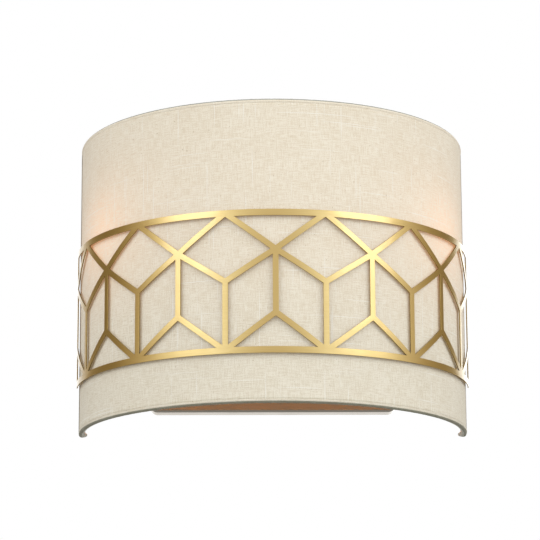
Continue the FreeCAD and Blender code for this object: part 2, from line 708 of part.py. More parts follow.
# ---------------------------------------------------------------- the lampholders
def lamp_place(side):
    """The foot of a lampholder on its cheek, and the turn of its own level axis away from the middle."""
    along = "cheek_face" if side > 0 else "-cheek_face"
    return (along, "-lamp_reach", "lamp_height"), "0" if side > 0 else "180"


def lamp_bracket():
    """Channel on the pan's face with a cheek for each lampholder."""
    body = new_body("lamp_bracket", ("0", "-pan_front", "lamp_height"))
    plan = new_sketch(body, "XY_Plane", "Plan")
    inner = "bracket_width / 2 - bracket_thick"
    outline(plan, [
        ("-bracket_width / 2", "0"), ("bracket_width / 2", "0"), ("bracket_width / 2", "-bracket_depth"),
        (inner, "-bracket_depth"), (inner, "-bracket_thick"), (f"-({inner})", "-bracket_thick"),
        (f"-({inner})", "-bracket_depth"), ("-bracket_width / 2", "-bracket_depth"),
    ])
    pad(body, plan, "bracket_height", both_sides=True)
    far = -size_of("bracket_depth")
    round_edges(body, lambda e: abs(e.tangentAt(e.FirstParameter).x) > 0.99
                and all(abs(v.Point.y - far) < 1e-6 for v in e.Vertexes), "bracket_round")
    web_holes = new_sketch(body, "XZ_Plane", "WebHoles")
    circles(web_holes, [("0", "-bracket_screw_spacing / 2"), ("0", "bracket_screw_spacing / 2")],
            "screw_hole")
    circles(web_holes, [("0", "0")], "bushing_radius + hole_clear")
    cut_through(body, web_holes, backwards=True)
    cheek_holes = new_sketch(body, "YZ_Plane", "CheekHoles", height="-bracket_width")
    circles(cheek_holes, [("-(lamp_reach - pan_front)", "0")], "nipple_radius + thread_clear")
    cut_through(body, cheek_holes, backwards=True)
    return body


def bracket_screws():
    """Pan-headed screws that hold the channel to the pan."""
    lower = "lamp_height - bracket_screw_spacing / 2"
    body = new_body("bracket_screws", ("0", "-(pan_front + bracket_thick)", lower))
    profile = new_sketch(body, "YZ_Plane", "Profile")
    reach = "bracket_thick + pan_thick + screw_tail"
    outline(profile, [
        ("-screw_head_thick", "0"), (reach, "0"), (reach, "screw_radius"), ("0", "screw_radius"),
        ("0", "screw_head_radius"), ("-screw_head_thick / 2", "screw_head_radius"),
        ("-screw_head_thick", "screw_head_radius - screw_head_thick / 2"),
    ])
    first = turn(body, profile, "H_Axis")
    repeat_in_line(body, [first], profile, "V_Axis", "bracket_screw_spacing")
    return body


def wire_bushing():
    """Plastic ring that lines the hole for the leads, with a rim on each side."""
    body = new_body("wire_bushing", ("0", "-pan_front", "lamp_height"))
    profile = new_sketch(body, "XY_Plane", "Profile")
    front = "-bracket_thick"
    outline(profile, [
        ("bushing_bore", "pan_thick + bushing_rim"), ("bushing_bore", f"{front} - bushing_rim"),
        ("bushing_radius + bushing_rim", f"{front} - bushing_rim"), ("bushing_radius + bushing_rim", front),
        ("bushing_radius", front), ("bushing_radius", "pan_thick"),
        ("bushing_radius + bushing_rim", "pan_thick"),
        ("bushing_radius + bushing_rim", "pan_thick + bushing_rim"),
    ])
    turn(body, profile, "V_Axis")
    return body


def socket_nipples():
    """Threaded tubes through the cheeks, half in the lampholder and half in the channel."""
    body = new_body("socket_nipples", ("-cheek_face - nipple_depth", "-lamp_reach", "lamp_height"))
    profile = new_sketch(body, "XY_Plane", "Profile")
    outline(profile, [("0", "nipple_bore"), ("2 * nipple_depth", "nipple_bore"),
                      ("2 * nipple_depth", "nipple_radius"), ("0", "nipple_radius")])
    first = turn(body, profile, "H_Axis")
    repeat_in_line(body, [first], profile, "H_Axis", "bracket_width")
    return body


def nipple_nuts():
    """Six-sided nuts on the tubes, inside the channel."""
    body = new_body("nipple_nuts", ("-cheek_face + bracket_thick", "-lamp_reach", "lamp_height"))
    face = new_sketch(body, "YZ_Plane", "Face")
    hexagon(face, "nipple_nut_flats")
    circles(face, [("0", "0")], "nipple_radius + thread_clear")
    first = pad(body, face, "nipple_nut_thick")
    level = [f for f in body.Origin.OriginFeatures if f.Role == "X_Axis"][0]
    feature = body.newObject("PartDesign::LinearPattern", "Repeated")
    feature.Originals = [first]
    feature.Direction = (level, [""])
    feature.Occurrences = 2
    feature.setExpression("Length", bound("bracket_width - 2 * bracket_thick - nipple_nut_thick"))
    body.Tip = feature
    document.recompute()
    return body


def socket(label, side):
    """Lampholder body: a foot on the cheek, a bore for the tube and one for the sleeve and lamp."""
    place, turned = lamp_place(side)
    return turned_piece(label, [
        ("nipple_depth", "0"), ("bore_floor", "0"), ("bore_floor", "socket_bore"),
        ("socket_length", "socket_bore"), ("socket_length", "socket_radius"),
        ("bore_floor + socket_wall", "socket_radius"), ("bore_floor", "socket_neck"), ("0", "socket_neck"),
        ("0", "nipple_radius + thread_clear"), ("nipple_depth", "nipple_radius + thread_clear"),
    ], place, turned)


def screw_shell(label, side):
    """Metal sleeve that the lamp screws into."""
    place, turned = lamp_place(side)
    return turned_piece(label, [
        ("bore_floor", "cap_radius + cap_clear"), ("bore_floor + sleeve_length", "cap_radius + cap_clear"),
        ("bore_floor + sleeve_length", "cap_radius + cap_clear + sleeve_thick"),
        ("bore_floor", "cap_radius + cap_clear + sleeve_thick"),
    ], place, turned)


def centre_contact(label, side):
    place, turned = lamp_place(side)
    return turned_piece(label, [
        ("bore_floor", "0"), ("bore_floor + contact_thick", "0"),
        ("bore_floor + contact_thick", "contact_radius"), ("bore_floor", "contact_radius"),
    ], place, turned)


def on_lamp(corners):
    """Corners counted from the lamp's tip contact, moved to the lampholder's own frame."""
    return [(f"lamp_start + {corner[0]}",) + tuple(corner[1:]) for corner in corners]


def bulb_tip(label, side):
    place, turned = lamp_place(side)
    return turned_piece(label, on_lamp([
        ("0", "0"), ("tip_length", "0"), ("tip_length", "tip_radius"), ("0", "tip_radius / 2"),
    ]), place, turned)


def bulb_cap(label, side):
    """Screw cap of a lamp, with its sloped shoulder."""
    place, turned = lamp_place(side)
    return turned_piece(label, on_lamp([
        ("tip_length", "0"), ("glass_start", "0"), ("glass_start", "cap_radius"),
        ("tip_length + cap_shoulder", "cap_radius"), ("tip_length", "tip_radius + tip_ring"),
    ]), place, turned)


def bulb_glass(label, side):
    """Glass of a lamp: a neck, a hollow curve and a ball, each radius less the wall for the inside."""
    place, turned = lamp_place(side)
    share = "(bulb_radius - glass_wall) / (2 * bulb_radius)"
    return turned_piece(label, on_lamp([
        ("glass_start", "bulb_neck"),
        ("bulb_waist", "bulb_neck"),
        ("(bulb_centre + bulb_waist) / 2", "(bulb_neck + bulb_radius) / 2", "bulb_radius", "left"),
        ("bulb_centre + bulb_radius", "0", "bulb_radius", "right"),
        ("bulb_centre + bulb_radius - glass_wall", "0"),
        (f"bulb_centre - {share} * (bulb_centre - bulb_waist)", f"{share} * (bulb_neck + bulb_radius)",
         "bulb_radius - glass_wall", "left"),
        ("bulb_waist", "bulb_neck - glass_wall", "bulb_radius + glass_wall", "right"),
        ("glass_start", "bulb_neck - glass_wall"),
    ]), place, turned)


def lead(label, side):
    """Lead from a lampholder's tube through the bushing and up to the terminal block."""
    tube_end = side * size_of("cheek_face - nipple_depth")
    start = Vector(tube_end, -size_of("lamp_reach"), size_of("lamp_height"))
    above_bar = -size_of("pan_front - pan_thick - block_depth / 2")
    first = Vector(side * size_of("lead_offset"), start.y, start.z)
    second = Vector(first.x, above_bar, start.z)
    end = Vector(first.x, above_bar, start.z + size_of("block_rise"))
    bend = size_of("lead_bend")
    edges = []
    here = start
    for corner, after in ((first, second), (second, end)):
        way_in = (corner - here).normalize()
        way_out = (after - corner).normalize()
        arc_start = corner - way_in * bend
        arc_end = corner + way_out * bend
        centre = arc_start + way_out * bend
        middle = centre + ((corner - centre).normalize()) * bend
        edges.append(Part.LineSegment(here, arc_start).toShape())
        edges.append(Part.Arc(arc_start, middle, arc_end).toShape())
        here = arc_end
    edges.append(Part.LineSegment(here, end).toShape())
    path = Part.Wire(edges)
    section = Part.Wire([Part.makeCircle(size_of("lead_dia / 2"), start, first - start)])
    solid = path.makePipeShell([section], True, False)
    expected = path.Length * math.pi * size_of("lead_dia / 2") ** 2
    if abs(solid.Volume - expected) > 0.02 * expected:
        raise RuntimeError(f"{label} has lost its section: {solid.Volume:.1f}, not {expected:.1f}")
    piece = document.addObject("Part::Feature", label)
    piece.Shape = solid
    return piece


def terminal_block():
    """Block inside the pan that the leads end in, with its clamping screws' wells."""
    body = new_body("terminal_block", ("0", "-(pan_front - pan_thick)", "lamp_height + block_rise"))
    base = new_sketch(body, "XZ_Plane", "Base")
    outline(base, [("-block_width / 2", "0"), ("block_width / 2", "0"), ("block_width / 2", "block_height"),
                   ("-block_width / 2", "block_height")])
    pad(body, base, "block_depth", backwards=True)
    wells = new_sketch(body, "XZ_Plane", "Wells", height="-block_depth")
    circles(wells, [("-well_spacing / 2", "block_height / 2"), ("well_spacing / 2", "block_height / 2")],
            "well_radius")
    cut_depth(body, wells, "well_depth", backwards=True)
    return body


# ---------------------------------------------------------------- what holds the shade
def shade_studs():
    """Studs welded to the pan's face, one for each strap."""
    body = new_body("shade_studs", ("0", "-pan_front", "-strap_spacing / 2"))
    profile = new_sketch(body, "YZ_Plane", "Profile")
    outline(profile, [("0", "0"), ("-stud_length", "0"), ("-stud_length", "stud_radius"),
                      ("-stud_foot_thick", "stud_radius"), ("-stud_foot_thick", "stud_foot_radius"),
                      ("0", "stud_foot_radius")])
    first = turn(body, profile, "H_Axis")
    repeat_in_line(body, [first], profile, "V_Axis", "strap_spacing")
    return body


def on_stud(side, front):
    return ("0", f"-({front})", "strap_spacing / 2" if side > 0 else "-strap_spacing / 2")


def washer(label, side):
    body = new_body(label, on_stud(side, "strap_front"))
    face = new_sketch(body, "XZ_Plane", "Face")
    circles(face, [("0", "0")], "washer_radius")
    circles(face, [("0", "0")], "stud_radius + hole_clear")
    pad(body, face, "washer_thick")
    return body


def thumb_nut(label, side):
    """Nut with a plain collar and a knurled grip."""
    body = new_body(label, on_stud(side, "nut_seat"))
    profile = new_sketch(body, "YZ_Plane", "Profile")
    bore = "stud_radius + thread_clear"
    whole = "-(collar_length + knurl_length)"
    outline(profile, [("0", bore), (whole, bore), (whole, "knurl_radius - knurl_depth"),
                      (f"{whole} + knurl_depth", "knurl_radius"), ("-collar_length", "knurl_radius"),
                      ("-collar_length", "collar_radius"), ("0", "collar_radius")])
    turn(body, profile, "H_Axis")
    groove = new_sketch(body, "XZ_Plane", "Groove")
    outline(groove, [("-knurl_width / 2", "knurl_radius + knurl_depth"), ("0", "knurl_radius - knurl_depth"),
                     ("knurl_width / 2", "knurl_radius + knurl_depth")])
    first = cut_through(body, groove, backwards=True)
    repeat_round(body, [first], (profile, ["H_Axis"]), "360", "knurl_count")
    return body


SIDES = (("left", -1), ("right", 1))
LEVELS = (("lower", -1), ("upper", 1))

pieces = [
    shade_sheet("shade_fabric", "linen_inner", "shade_radius"),
    shade_sheet("shade_liner", "liner_inner", "linen_inner"),
    rim_trim("top_hem", 1),
    rim_trim("bottom_hem", -1),
    rim_wire("top_ring_wire", 1),
    rim_wire("bottom_ring_wire", -1),
    lattice_band(),
    band_rivets(),
    back_plate(),
    mounting_bar(),
    pan_screws(),
    cap_nuts(),
    ground_screw(),
    lamp_bracket(),
    bracket_screws(),
    wire_bushing(),
    socket_nipples(),
    nipple_nuts(),
    terminal_block(),
    shade_studs(),
]
for name, side in SIDES:
    pieces.append(edge_trim(f"side_hem_{name}", side))
    pieces.append(end_wire(f"end_wire_{name}", side))
    pieces.append(socket(f"socket_{name}", side))
    pieces.append(screw_shell(f"screw_shell_{name}", side))
    pieces.append(centre_contact(f"centre_contact_{name}", side))
    pieces.append(bulb_tip(f"bulb_tip_{name}", side))
    pieces.append(bulb_cap(f"bulb_cap_{name}", side))
    pieces.append(bulb_glass(f"bulb_glass_{name}", side))
    pieces.append(lead(f"lead_{name}", side))
for name, side in LEVELS:
    pieces.append(strap(f"{name}_strap", side))
    pieces.append(washer(f"washer_{name}", side))
    pieces.append(thumb_nut(f"thumb_nut_{name}", side))

# ---------------------------------------------------------------- checks and export
document.recompute()
for item in document.Objects:
    if "Invalid" in item.State or "Error" in item.State:
        raise RuntimeError(f"{item.Label} did not compute: {item.State}")
for piece in pieces:
    if piece.Shape.isNull() or not piece.Shape.isValid():
        raise RuntimeError(f"{piece.Label} has no valid shape")

os.makedirs("parts", exist_ok=True)
for piece in pieces:
    piece.Shape.exportStep(f"parts/{piece.Label}.step")
    box = piece.Shape.BoundBox
    print(f"{piece.Label:22s} solids {len(piece.Shape.Solids):2d}  volume {piece.Shape.Volume:10.1f}"
          f"  x {box.XMin:.1f}..{box.XMax:.1f}  y {box.YMin:.1f}..{box.YMax:.1f}"
          f"  z {box.ZMin:.1f}..{box.ZMax:.1f}")
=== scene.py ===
"""A half-drum linen wall light with a cut-out brass band, its two lamps and the pan behind it.

Lengths are in metres, +Z is up, the wall is the plane y = 0 and the light faces -Y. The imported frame
gives where the rims, the back edges and the band lie. The surfaces here are worked out as whole arrays,
each from two parameters.
"""
import math

import bpy
import numpy as np
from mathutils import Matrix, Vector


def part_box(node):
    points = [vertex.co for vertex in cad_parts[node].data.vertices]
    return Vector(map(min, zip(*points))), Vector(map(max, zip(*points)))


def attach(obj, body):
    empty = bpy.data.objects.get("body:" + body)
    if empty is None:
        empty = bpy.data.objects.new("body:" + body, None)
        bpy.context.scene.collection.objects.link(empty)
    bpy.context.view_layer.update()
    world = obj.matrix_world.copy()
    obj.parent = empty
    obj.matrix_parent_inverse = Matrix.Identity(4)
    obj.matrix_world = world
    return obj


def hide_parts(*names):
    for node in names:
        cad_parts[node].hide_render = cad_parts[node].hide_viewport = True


MM = 0.001
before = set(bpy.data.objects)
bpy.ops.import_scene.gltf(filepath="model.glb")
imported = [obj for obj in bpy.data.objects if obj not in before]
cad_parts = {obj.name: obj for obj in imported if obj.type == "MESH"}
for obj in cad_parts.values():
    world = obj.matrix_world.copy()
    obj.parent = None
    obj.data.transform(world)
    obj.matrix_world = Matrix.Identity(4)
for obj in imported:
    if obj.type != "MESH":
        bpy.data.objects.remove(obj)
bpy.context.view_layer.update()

# ------------------------------ sizes: heights and back edges from the frame, the rest the light's own
fabric_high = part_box("shade_fabric")[1]
hem_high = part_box("top_hem")[1]
band_low, band_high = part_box("lattice_band")
RADIUS = 165.0 * MM  # outside of the linen
HALF_HEIGHT = hem_high[2]
HEM_SPRING = fabric_high[2]  # where the straight leg of a rim hem turns into its crown
BACK_EDGE = -fabric_high[1]
WALL_GAP = -hem_high[1]
LINEN_THICK = 0.6 * MM
HEM_THICK = 0.5 * MM
HEM_CROWN = HALF_HEIGHT - HEM_SPRING - HEM_THICK
TOP_LEG = 1.4 * MM  # straight part of a rim fold, outside and inside
BOTTOM_LEG = 0.5 * MM
CROWN_SHADE_LINES = (5, 10)  # painted shade on a rim fold's crown, between these lines of its profile
SIDE_LEG = 6.0 * MM
BAND_OUTER = 167.8 * MM
BAND_THICK = 1.0 * MM
BAND_MIDDLE = (band_low[2] + band_high[2]) / 2
BAND_HALF = (band_high[2] - band_low[2]) / 2
RING_WIDTH = 5.3 * MM
STRIP_WIDTH = 4.7 * MM
END_STRIP_WIDTH = 4.0 * MM
COLUMN_ANGLE = math.radians(14.0)
LAST_COLUMN = 6
CROSSING_RISE = 26.0 * MM
LAMP_REACH = 58.0 * MM
LAMP_HEIGHT = 10.0 * MM
GLOW_HEIGHT = 34.0 * MM  # middle of the glow that a lamp makes on the shade
EVEN_GLOW = 0.10  # light that has gone round inside the shade, against a lamp's own light 50 mm away
BULB_MIDDLE = 107.0 * MM
RIPPLE_DEPTH = 0.15 * MM  # deepest dip of the cloth
RIPPLE_FREE = 8 * MM  # the cloth lies tight for this far from a rim
RIM_PUCKER = 0.10 * MM
SIDE_SWAY = 0.12 * MM
END_BULGE = 2.0 * MM  # how much fuller a rim fold is at its ends, where the sides are turned in
END_BULGE_REACH = 9 * MM
TAPE_THINNED = 1.02 * HEM_THICK  # the tape's outer edge is thinned by this much, so it lies in the cloth
GRID_STEP = 1.6 * MM
SHEET_EDGE_ROUND = 0.12 * MM
SAME_SPOT = 1e-7  # corners this near each other, in metres, are one point
CAMERA_PLACE = (-0.03930, -2.20061, -0.50027)
CAMERA_TURNS = (0.9784, 13.3249, -0.2801)  # degrees of yaw, pitch and roll
CAMERA_LENS = 173.93  # mm, on a sensor 36 mm wide


# ------------------------------ camera
def place_camera():
    """Looks up at the light from 2.2 m away and a little to its left, level to a third of a degree."""
    yaw, pitch, roll = np.radians(CAMERA_TURNS)
    level = np.array([math.sin(yaw), math.cos(yaw), 0.0])
    side = np.array([math.cos(yaw), -math.sin(yaw), 0.0])
    top = np.array([0.0, 0.0, 1.0])
    ahead = math.cos(pitch) * level + math.sin(pitch) * top
    above = math.cos(pitch) * top - math.sin(pitch) * level
    right = math.cos(roll) * side + math.sin(roll) * above
    over = math.cos(roll) * above - math.sin(roll) * side
    data = bpy.data.cameras.new("front_camera")
    data.sensor_width = 36.0
    data.lens = CAMERA_LENS
    data.clip_start = 0.05
    camera = bpy.data.objects.new("front_camera", data)
    bpy.context.scene.collection.objects.link(camera)
    place = np.eye(4)
    place[:3, 0] = right
    place[:3, 1] = over
    place[:3, 2] = -ahead
    place[:3, 3] = CAMERA_PLACE
    camera.matrix_world = place.T.tolist()
    bpy.context.scene.camera = camera


place_camera()


# ------------------------------ colour and nodes
def linear(hex_text):
    """The linear colour of an sRGB hex value, with full alpha."""
    values = np.array([int(hex_text[i:i + 2], 16) for i in (1, 3, 5)]) / 255
    curved = ((values + 0.055) / 1.055) ** 2.4
    return (*np.where(values <= 0.04045, values / 12.92, curved).tolist(), 1.0)


def add(tree, kind, inputs=(), **settings):
    """Adds a shader node with its settings. An input is an output socket, which is linked, or a plain
    value. Inputs are a list, from the first socket on, or name or number their sockets. Those of MapRange
    are a value, the low and high that it goes between, and what these two become, or else 0 and 1."""
    node = tree.nodes.new("ShaderNode" + kind)
    for name, value in settings.items():
        setattr(node, name, value)
    for socket, value in inputs.items() if isinstance(inputs, dict) else enumerate(inputs):
        if isinstance(value, bpy.types.NodeSocket):
            tree.links.new(value, node.inputs[socket])
        else:
            node.inputs[socket].default_value = value
    return node.outputs


def new_material(name):
    """An empty material and its node tree."""
    material = bpy.data.materials.new(name)
    material.use_nodes = True
    material.node_tree.nodes.clear()
    return material, material.node_tree


# ------------------------------ meshes
def new_piece(name, points, faces, materials, body="fixture", uv=None, smooth=True):
    """A mesh object at the origin from an (n, 3) array of points and a list of faces. It rides on a body.
    uv is an (n, 2) array in metres along and across the piece, one pair for each point."""
    mesh = bpy.data.meshes.new(name)
    mesh.from_pydata(np.asarray(points).tolist(), [], [list(f) for f in faces])
    if uv is not None:
        layer = mesh.uv_layers.new(name="UVMap")
        corner_points = np.empty(len(mesh.loops), dtype=np.int32)
        mesh.loops.foreach_get("vertex_index", corner_points)
        layer.data.foreach_set("uv", np.asarray(uv)[corner_points].ravel())
    mesh.polygons.foreach_set("use_smooth", np.full(len(mesh.polygons), smooth))
    for material in materials:
        mesh.materials.append(material)
    piece = bpy.data.objects.new(name, mesh)
    bpy.context.scene.collection.objects.link(piece)
    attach(piece, body)
    return piece


def grid_faces(rows, columns, close_rows=False, close_columns=False, start=0):
    """Quads over a grid of points stored row by row. A closed direction joins its last line to its
    first."""
    down = np.arange(rows if close_rows else rows - 1)
    across = np.arange(columns if close_columns else columns - 1)
    r, c = np.meshgrid(down, across, indexing="ij")
    r_next = (r + 1) % rows
    c_next = (c + 1) % columns
    this_row = r * columns
    next_row = r_next * columns
    quads = np.stack([this_row + c, this_row + c_next, next_row + c_next, next_row + c], -1)
    return quads.reshape(-1, 4) + start


def ripple(along, across, seed, waves):
    """A smooth, uneven height of about -1..1: the mean of sine waves with seeded slants and phases. waves
    gives how many periods fit in one metre, one value for each wave."""
    rng = np.random.default_rng(seed)
    height = np.zeros(np.broadcast(along, across).shape)
    for count in waves:
        slant = rng.uniform(-0.5, 0.5)
        phase = rng.uniform(0, 2 * math.pi)
        height = height + np.sin(2 * math.pi * count * (along + slant * across) + phase)
    return height / len(waves)


def on_drum(angle, radius, height):
    """Points at an angle from the front, turning towards +X, on a drum round the upright axis."""
    angle, radius, height = np.broadcast_arrays(angle, radius, height)
    return np.stack([radius * np.sin(angle), -radius * np.cos(angle), height], -1)


def sheet_shell(outer, inner):
    """Points and faces of a closed sheet between two grids of the same size. The outer grid's rows run
    upwards and its columns towards +X. Its four borders are joined to those of the inner grid."""
    rows, columns = outer.shape[:2]
    count = rows * columns
    points = np.concatenate([outer.reshape(-1, 3), inner.reshape(-1, 3)])
    front = grid_faces(rows, columns)
    back = grid_faces(rows, columns, start=count)[:, ::-1]
    number = np.arange(count).reshape(rows, columns)
    border = np.concatenate([number[0, :-1], number[:-1, -1], number[-1, :0:-1], number[:0:-1, 0]])
    after = np.roll(border, -1)
    rim = np.stack([after, border, border + count, after + count], -1)
    return points, np.concatenate([front, back, rim])


# ------------------------------ finishes
YARN = 0.6 * MM
YARN_STREAK = 9 * MM  # how far a yarn keeps its tone
MOTTLE = 0.7 * MM
THICK_YARN = 0.9 * MM
YARN_SPACING = 0.55 * MM
STRAW_FLECK = 1.923 * MM
METAL_PATCH = 22.222 * MM  # how wide the patches are in which a metal's tone drifts
TONE_PATCH = 33.333 * MM  # the same for moulded and glazed surfaces
GLASS_HAZE = 16.667 * MM


def streaks(tree, uv, width, length, seed, detail=1.0):
    """A noise of 0..1 in streaks of that width (along u) and length (along v), both in metres."""
    place = add(tree, "Mapping", {"Vector": uv, "Location": (seed, 3.7 * seed, 0.0),
                                  "Scale": (1.0 / width, 1.0 / length, 1.0)})[0]
    return add(tree, "TexNoise", {"Vector": place, "Scale": 1.0, "Detail": detail})[0]


def slub_lines(tree, across, along, yarn, length, seed):
    """Thick places in the yarns, 0..1. Each yarn has its own noise along it, and only its peaks count.
    The middle of a yarn is thicker than its sides, and it shows less where it passes under others."""
    place = add(tree, "Math", [across, yarn], operation="DIVIDE")[0]
    number = add(tree, "Math", [place], operation="FLOOR")[0]
    apart = add(tree, "Math", [number, 5.17], operation="MULTIPLY")[0]
    down = add(tree, "Math", [along, length], operation="DIVIDE")[0]
    spot = add(tree, "CombineXYZ", [apart, down, seed])[0]
    heavy = add(tree, "TexNoise", {"Vector": spot, "Scale": 1.0, "Detail": 1.0})[0]
    peak = add(tree, "MapRange", [heavy, 0.67, 0.73])[0]
    share = add(tree, "Math", [place], operation="FRACT")[0]
    half_turn = add(tree, "Math", [share, math.pi], operation="MULTIPLY")[0]
    wave = add(tree, "Math", [half_turn], operation="SINE")[0]
    crossing = add(tree, "Math", [along, 0.25 * MM], operation="DIVIDE")[0]
    over = add(tree, "Math", [crossing], operation="SINE")[0]
    shown = add(tree, "MapRange", [over, -1.0, 1.0, 0.4, 1.0])[0]
    thick = add(tree, "Math", [peak, wave], operation="MULTIPLY")[0]
    return add(tree, "Math", [thick, shown], operation="MULTIPLY")[0]


def flax_linen(name, pale, deep, fleck, backlit=0.0, slubs=1.0):
    """Plain-woven flax linen: short upright and level streaks of uneven yarn over a fine mottle, small
    dark flecks of straw and a few pale thick yarns. The colours run from deep to pale. A painted glow,
    emitted by the cloth, stands in for a lit lamp behind it, more where the weave is thin and less at a
    thick yarn. backlit is how strongly."""
    material, tree = new_material(name)
    uv = add(tree, "UVMap", uv_map="UVMap")[0]
    split = add(tree, "SeparateXYZ", [uv])
    weave = 0.0
    for part, noise in ((0.29, streaks(tree, uv, YARN, YARN_STREAK, 1.3)),
                        (0.31, streaks(tree, uv, YARN_STREAK, YARN, 4.9)),
                        (0.30, streaks(tree, uv, MOTTLE, MOTTLE, 8.1)),
                        (0.10, streaks(tree, uv, 26 * MM, 34 * MM, 2.2, 3.0))):
        weave = add(tree, "Math", [noise, part, weave], operation="MULTIPLY_ADD")[0]
    share = add(tree, "MapRange", [weave, 0.455, 0.545])[0]
    flax = add(tree, "Mix", {0: share, 6: linear(deep), 7: linear(pale)}, data_type="RGBA")[2]
    straw = add(tree, "TexNoise", {"Vector": uv, "Scale": 1.0 / STRAW_FLECK, "Detail": 1.0})[0]
    share = add(tree, "MapRange", [straw, 0.70, 0.78, 0.0, 0.6])[0]
    flax = add(tree, "Mix", {0: share, 6: flax, 7: linear(fleck)}, data_type="RGBA")[2]
    upright = slub_lines(tree, split[0], split[1], THICK_YARN, 90 * MM, 11.0)
    level = slub_lines(tree, split[1], split[0], THICK_YARN, 120 * MM, 12.0)
    slub = add(tree, "Math", [upright, level], operation="MAXIMUM")[0]
    slub = add(tree, "Math", [slub, slubs], operation="MULTIPLY")[0]
    share = add(tree, "Math", [slub, 0.8], operation="MULTIPLY")[0]
    flax = add(tree, "Mix", {0: share, 6: flax, 7: linear("#FDFBF4")}, data_type="RGBA")[2]
    height = add(tree, "Math", [weave, 5.0, slub], operation="MULTIPLY_ADD")[0]
    crossings = []
    for line in (split[0], split[1]):
        turn = add(tree, "Math", [line, 2 * math.pi / YARN_SPACING], operation="MULTIPLY")[0]
        crossings.append(add(tree, "Math", [turn], operation="SINE")[0])
    height = add(tree, "Math", [*crossings, height], operation="MULTIPLY_ADD")[0]
    bump = add(tree, "Bump", {"Strength": 0.3, "Distance": 0.1 * MM, "Height": height})[0]
    inputs = {"Base Color": flax, "Roughness": 0.92, "IOR": 1.5, "Sheen Weight": 0.1,
              "Sheen Roughness": 0.5, "Normal": bump}
    if backlit:
        glow = lamp_light(tree)
        thin = add(tree, "MapRange", [weave, 0.42, 0.58, 1.25, 0.75])[0]
        under_slub = add(tree, "MapRange", [slub, 0.0, 1.0, 1.0, 0.4])[0]
        for factor in (thin, under_slub, backlit):
            glow = add(tree, "Math", [glow, factor], operation="MULTIPLY")[0]
        inputs["Emission Color"] = linear("#FFAF79")
        inputs["Emission Strength"] = glow
    shader = add(tree, "BsdfPrincipled", inputs)[0]
    add(tree, "OutputMaterial", [shader])
    return material


def lamp_light(tree):
    """The light that comes through a point of the shade. A lamp gives the cosine at which it meets the
    drum's outward direction, over the distance squared, with distances in units of 50 mm. Light that has
    gone round inside the shade adds an even part, which fades towards the lower rim. It stands in for
    lamp light carried through the cloth, and doesn't move with the lamps."""
    unit = 50 * MM
    place = add(tree, "TexCoord")["Object"]
    level = add(tree, "VectorMath", [place, (1.0, 1.0, 0.0)], operation="MULTIPLY")[0]
    outward = add(tree, "VectorMath", [level], operation="NORMALIZE")[0]
    height = add(tree, "SeparateXYZ", [place])[2]
    light = add(tree, "MapRange", [height, -75 * MM, -10 * MM, 0.0, EVEN_GLOW])[0]
    for side in (-1, 1):
        lamp = (side * BULB_MIDDLE, -LAMP_REACH, GLOW_HEIGHT)
        way = add(tree, "VectorMath", [place, lamp], operation="SUBTRACT")[0]
        length = add(tree, "VectorMath", [way], operation="LENGTH")["Value"]
        direct = add(tree, "VectorMath", [way, outward], operation="DOT_PRODUCT")["Value"]
        cosine = add(tree, "Math", [direct, length], operation="DIVIDE")[0]
        far = add(tree, "Math", [length, unit], operation="DIVIDE")[0]
        squared = add(tree, "Math", [far, far], operation="MULTIPLY")[0]
        ray = add(tree, "Math", [cosine, squared], operation="DIVIDE")[0]
        light = add(tree, "Math", [light, ray], operation="ADD")[0]
    return light


def fine_metal(name, colour, dark, roughness, grain, coordinates="Object",
               line=(25, 25, 0.4), lacquer=0.0, bump=0.03):
    """A metal whose surface was drawn, rolled or brushed one way. Fine lines along it, much longer than
    wide, change the gloss and the tone a little. line is the size of one in mm along X, Y and Z, or along
    the UV map. Real ones are under 0.1 mm wide, so they are drawn coarser to show. grain is how far they
    take the tone towards dark, and lacquer is a clear coat."""
    material, tree = new_material(name)
    if coordinates == "Object":
        place = add(tree, "TexCoord")["Object"]
    else:
        place = add(tree, "UVMap", uv_map="UVMap")[0]
    stretch = tuple(1.0 / (size * MM) for size in line)
    stretched = add(tree, "Mapping", {"Vector": place, "Scale": stretch})[0]
    lines = add(tree, "TexNoise", {"Vector": stretched, "Scale": 1.0, "Detail": 3.0})[0]
    patch = add(tree, "TexNoise", {"Vector": place, "Scale": 1.0 / METAL_PATCH, "Detail": 2.0})[0]
    share = add(tree, "MapRange", [lines, 0.3, 0.7, 0.0, grain])[0]
    tone = add(tree, "Mix", {0: share, 6: linear(colour), 7: linear(dark)}, data_type="RGBA")[2]
    share = add(tree, "MapRange", [patch, 0.4, 0.8, 0.0, 0.25])[0]
    tone = add(tree, "Mix", {0: share, 6: tone, 7: linear(dark)}, data_type="RGBA")[2]
    both = add(tree, "Math", [lines, patch], operation="ADD")[0]
    gloss = add(tree, "MapRange", [both, 0.7, 1.3, roughness * 0.85, roughness * 1.2])[0]
    dents = add(tree, "Bump", {"Strength": bump * 10, "Distance": 0.02 * MM, "Height": lines})[0]
    shader = add(tree, "BsdfPrincipled", {
        "Base Color": tone, "Metallic": 1.0, "Roughness": gloss, "Normal": dents,
        "Coat Weight": lacquer, "Coat Roughness": 0.12})[0]
    add(tree, "OutputMaterial", [shader])
    return material


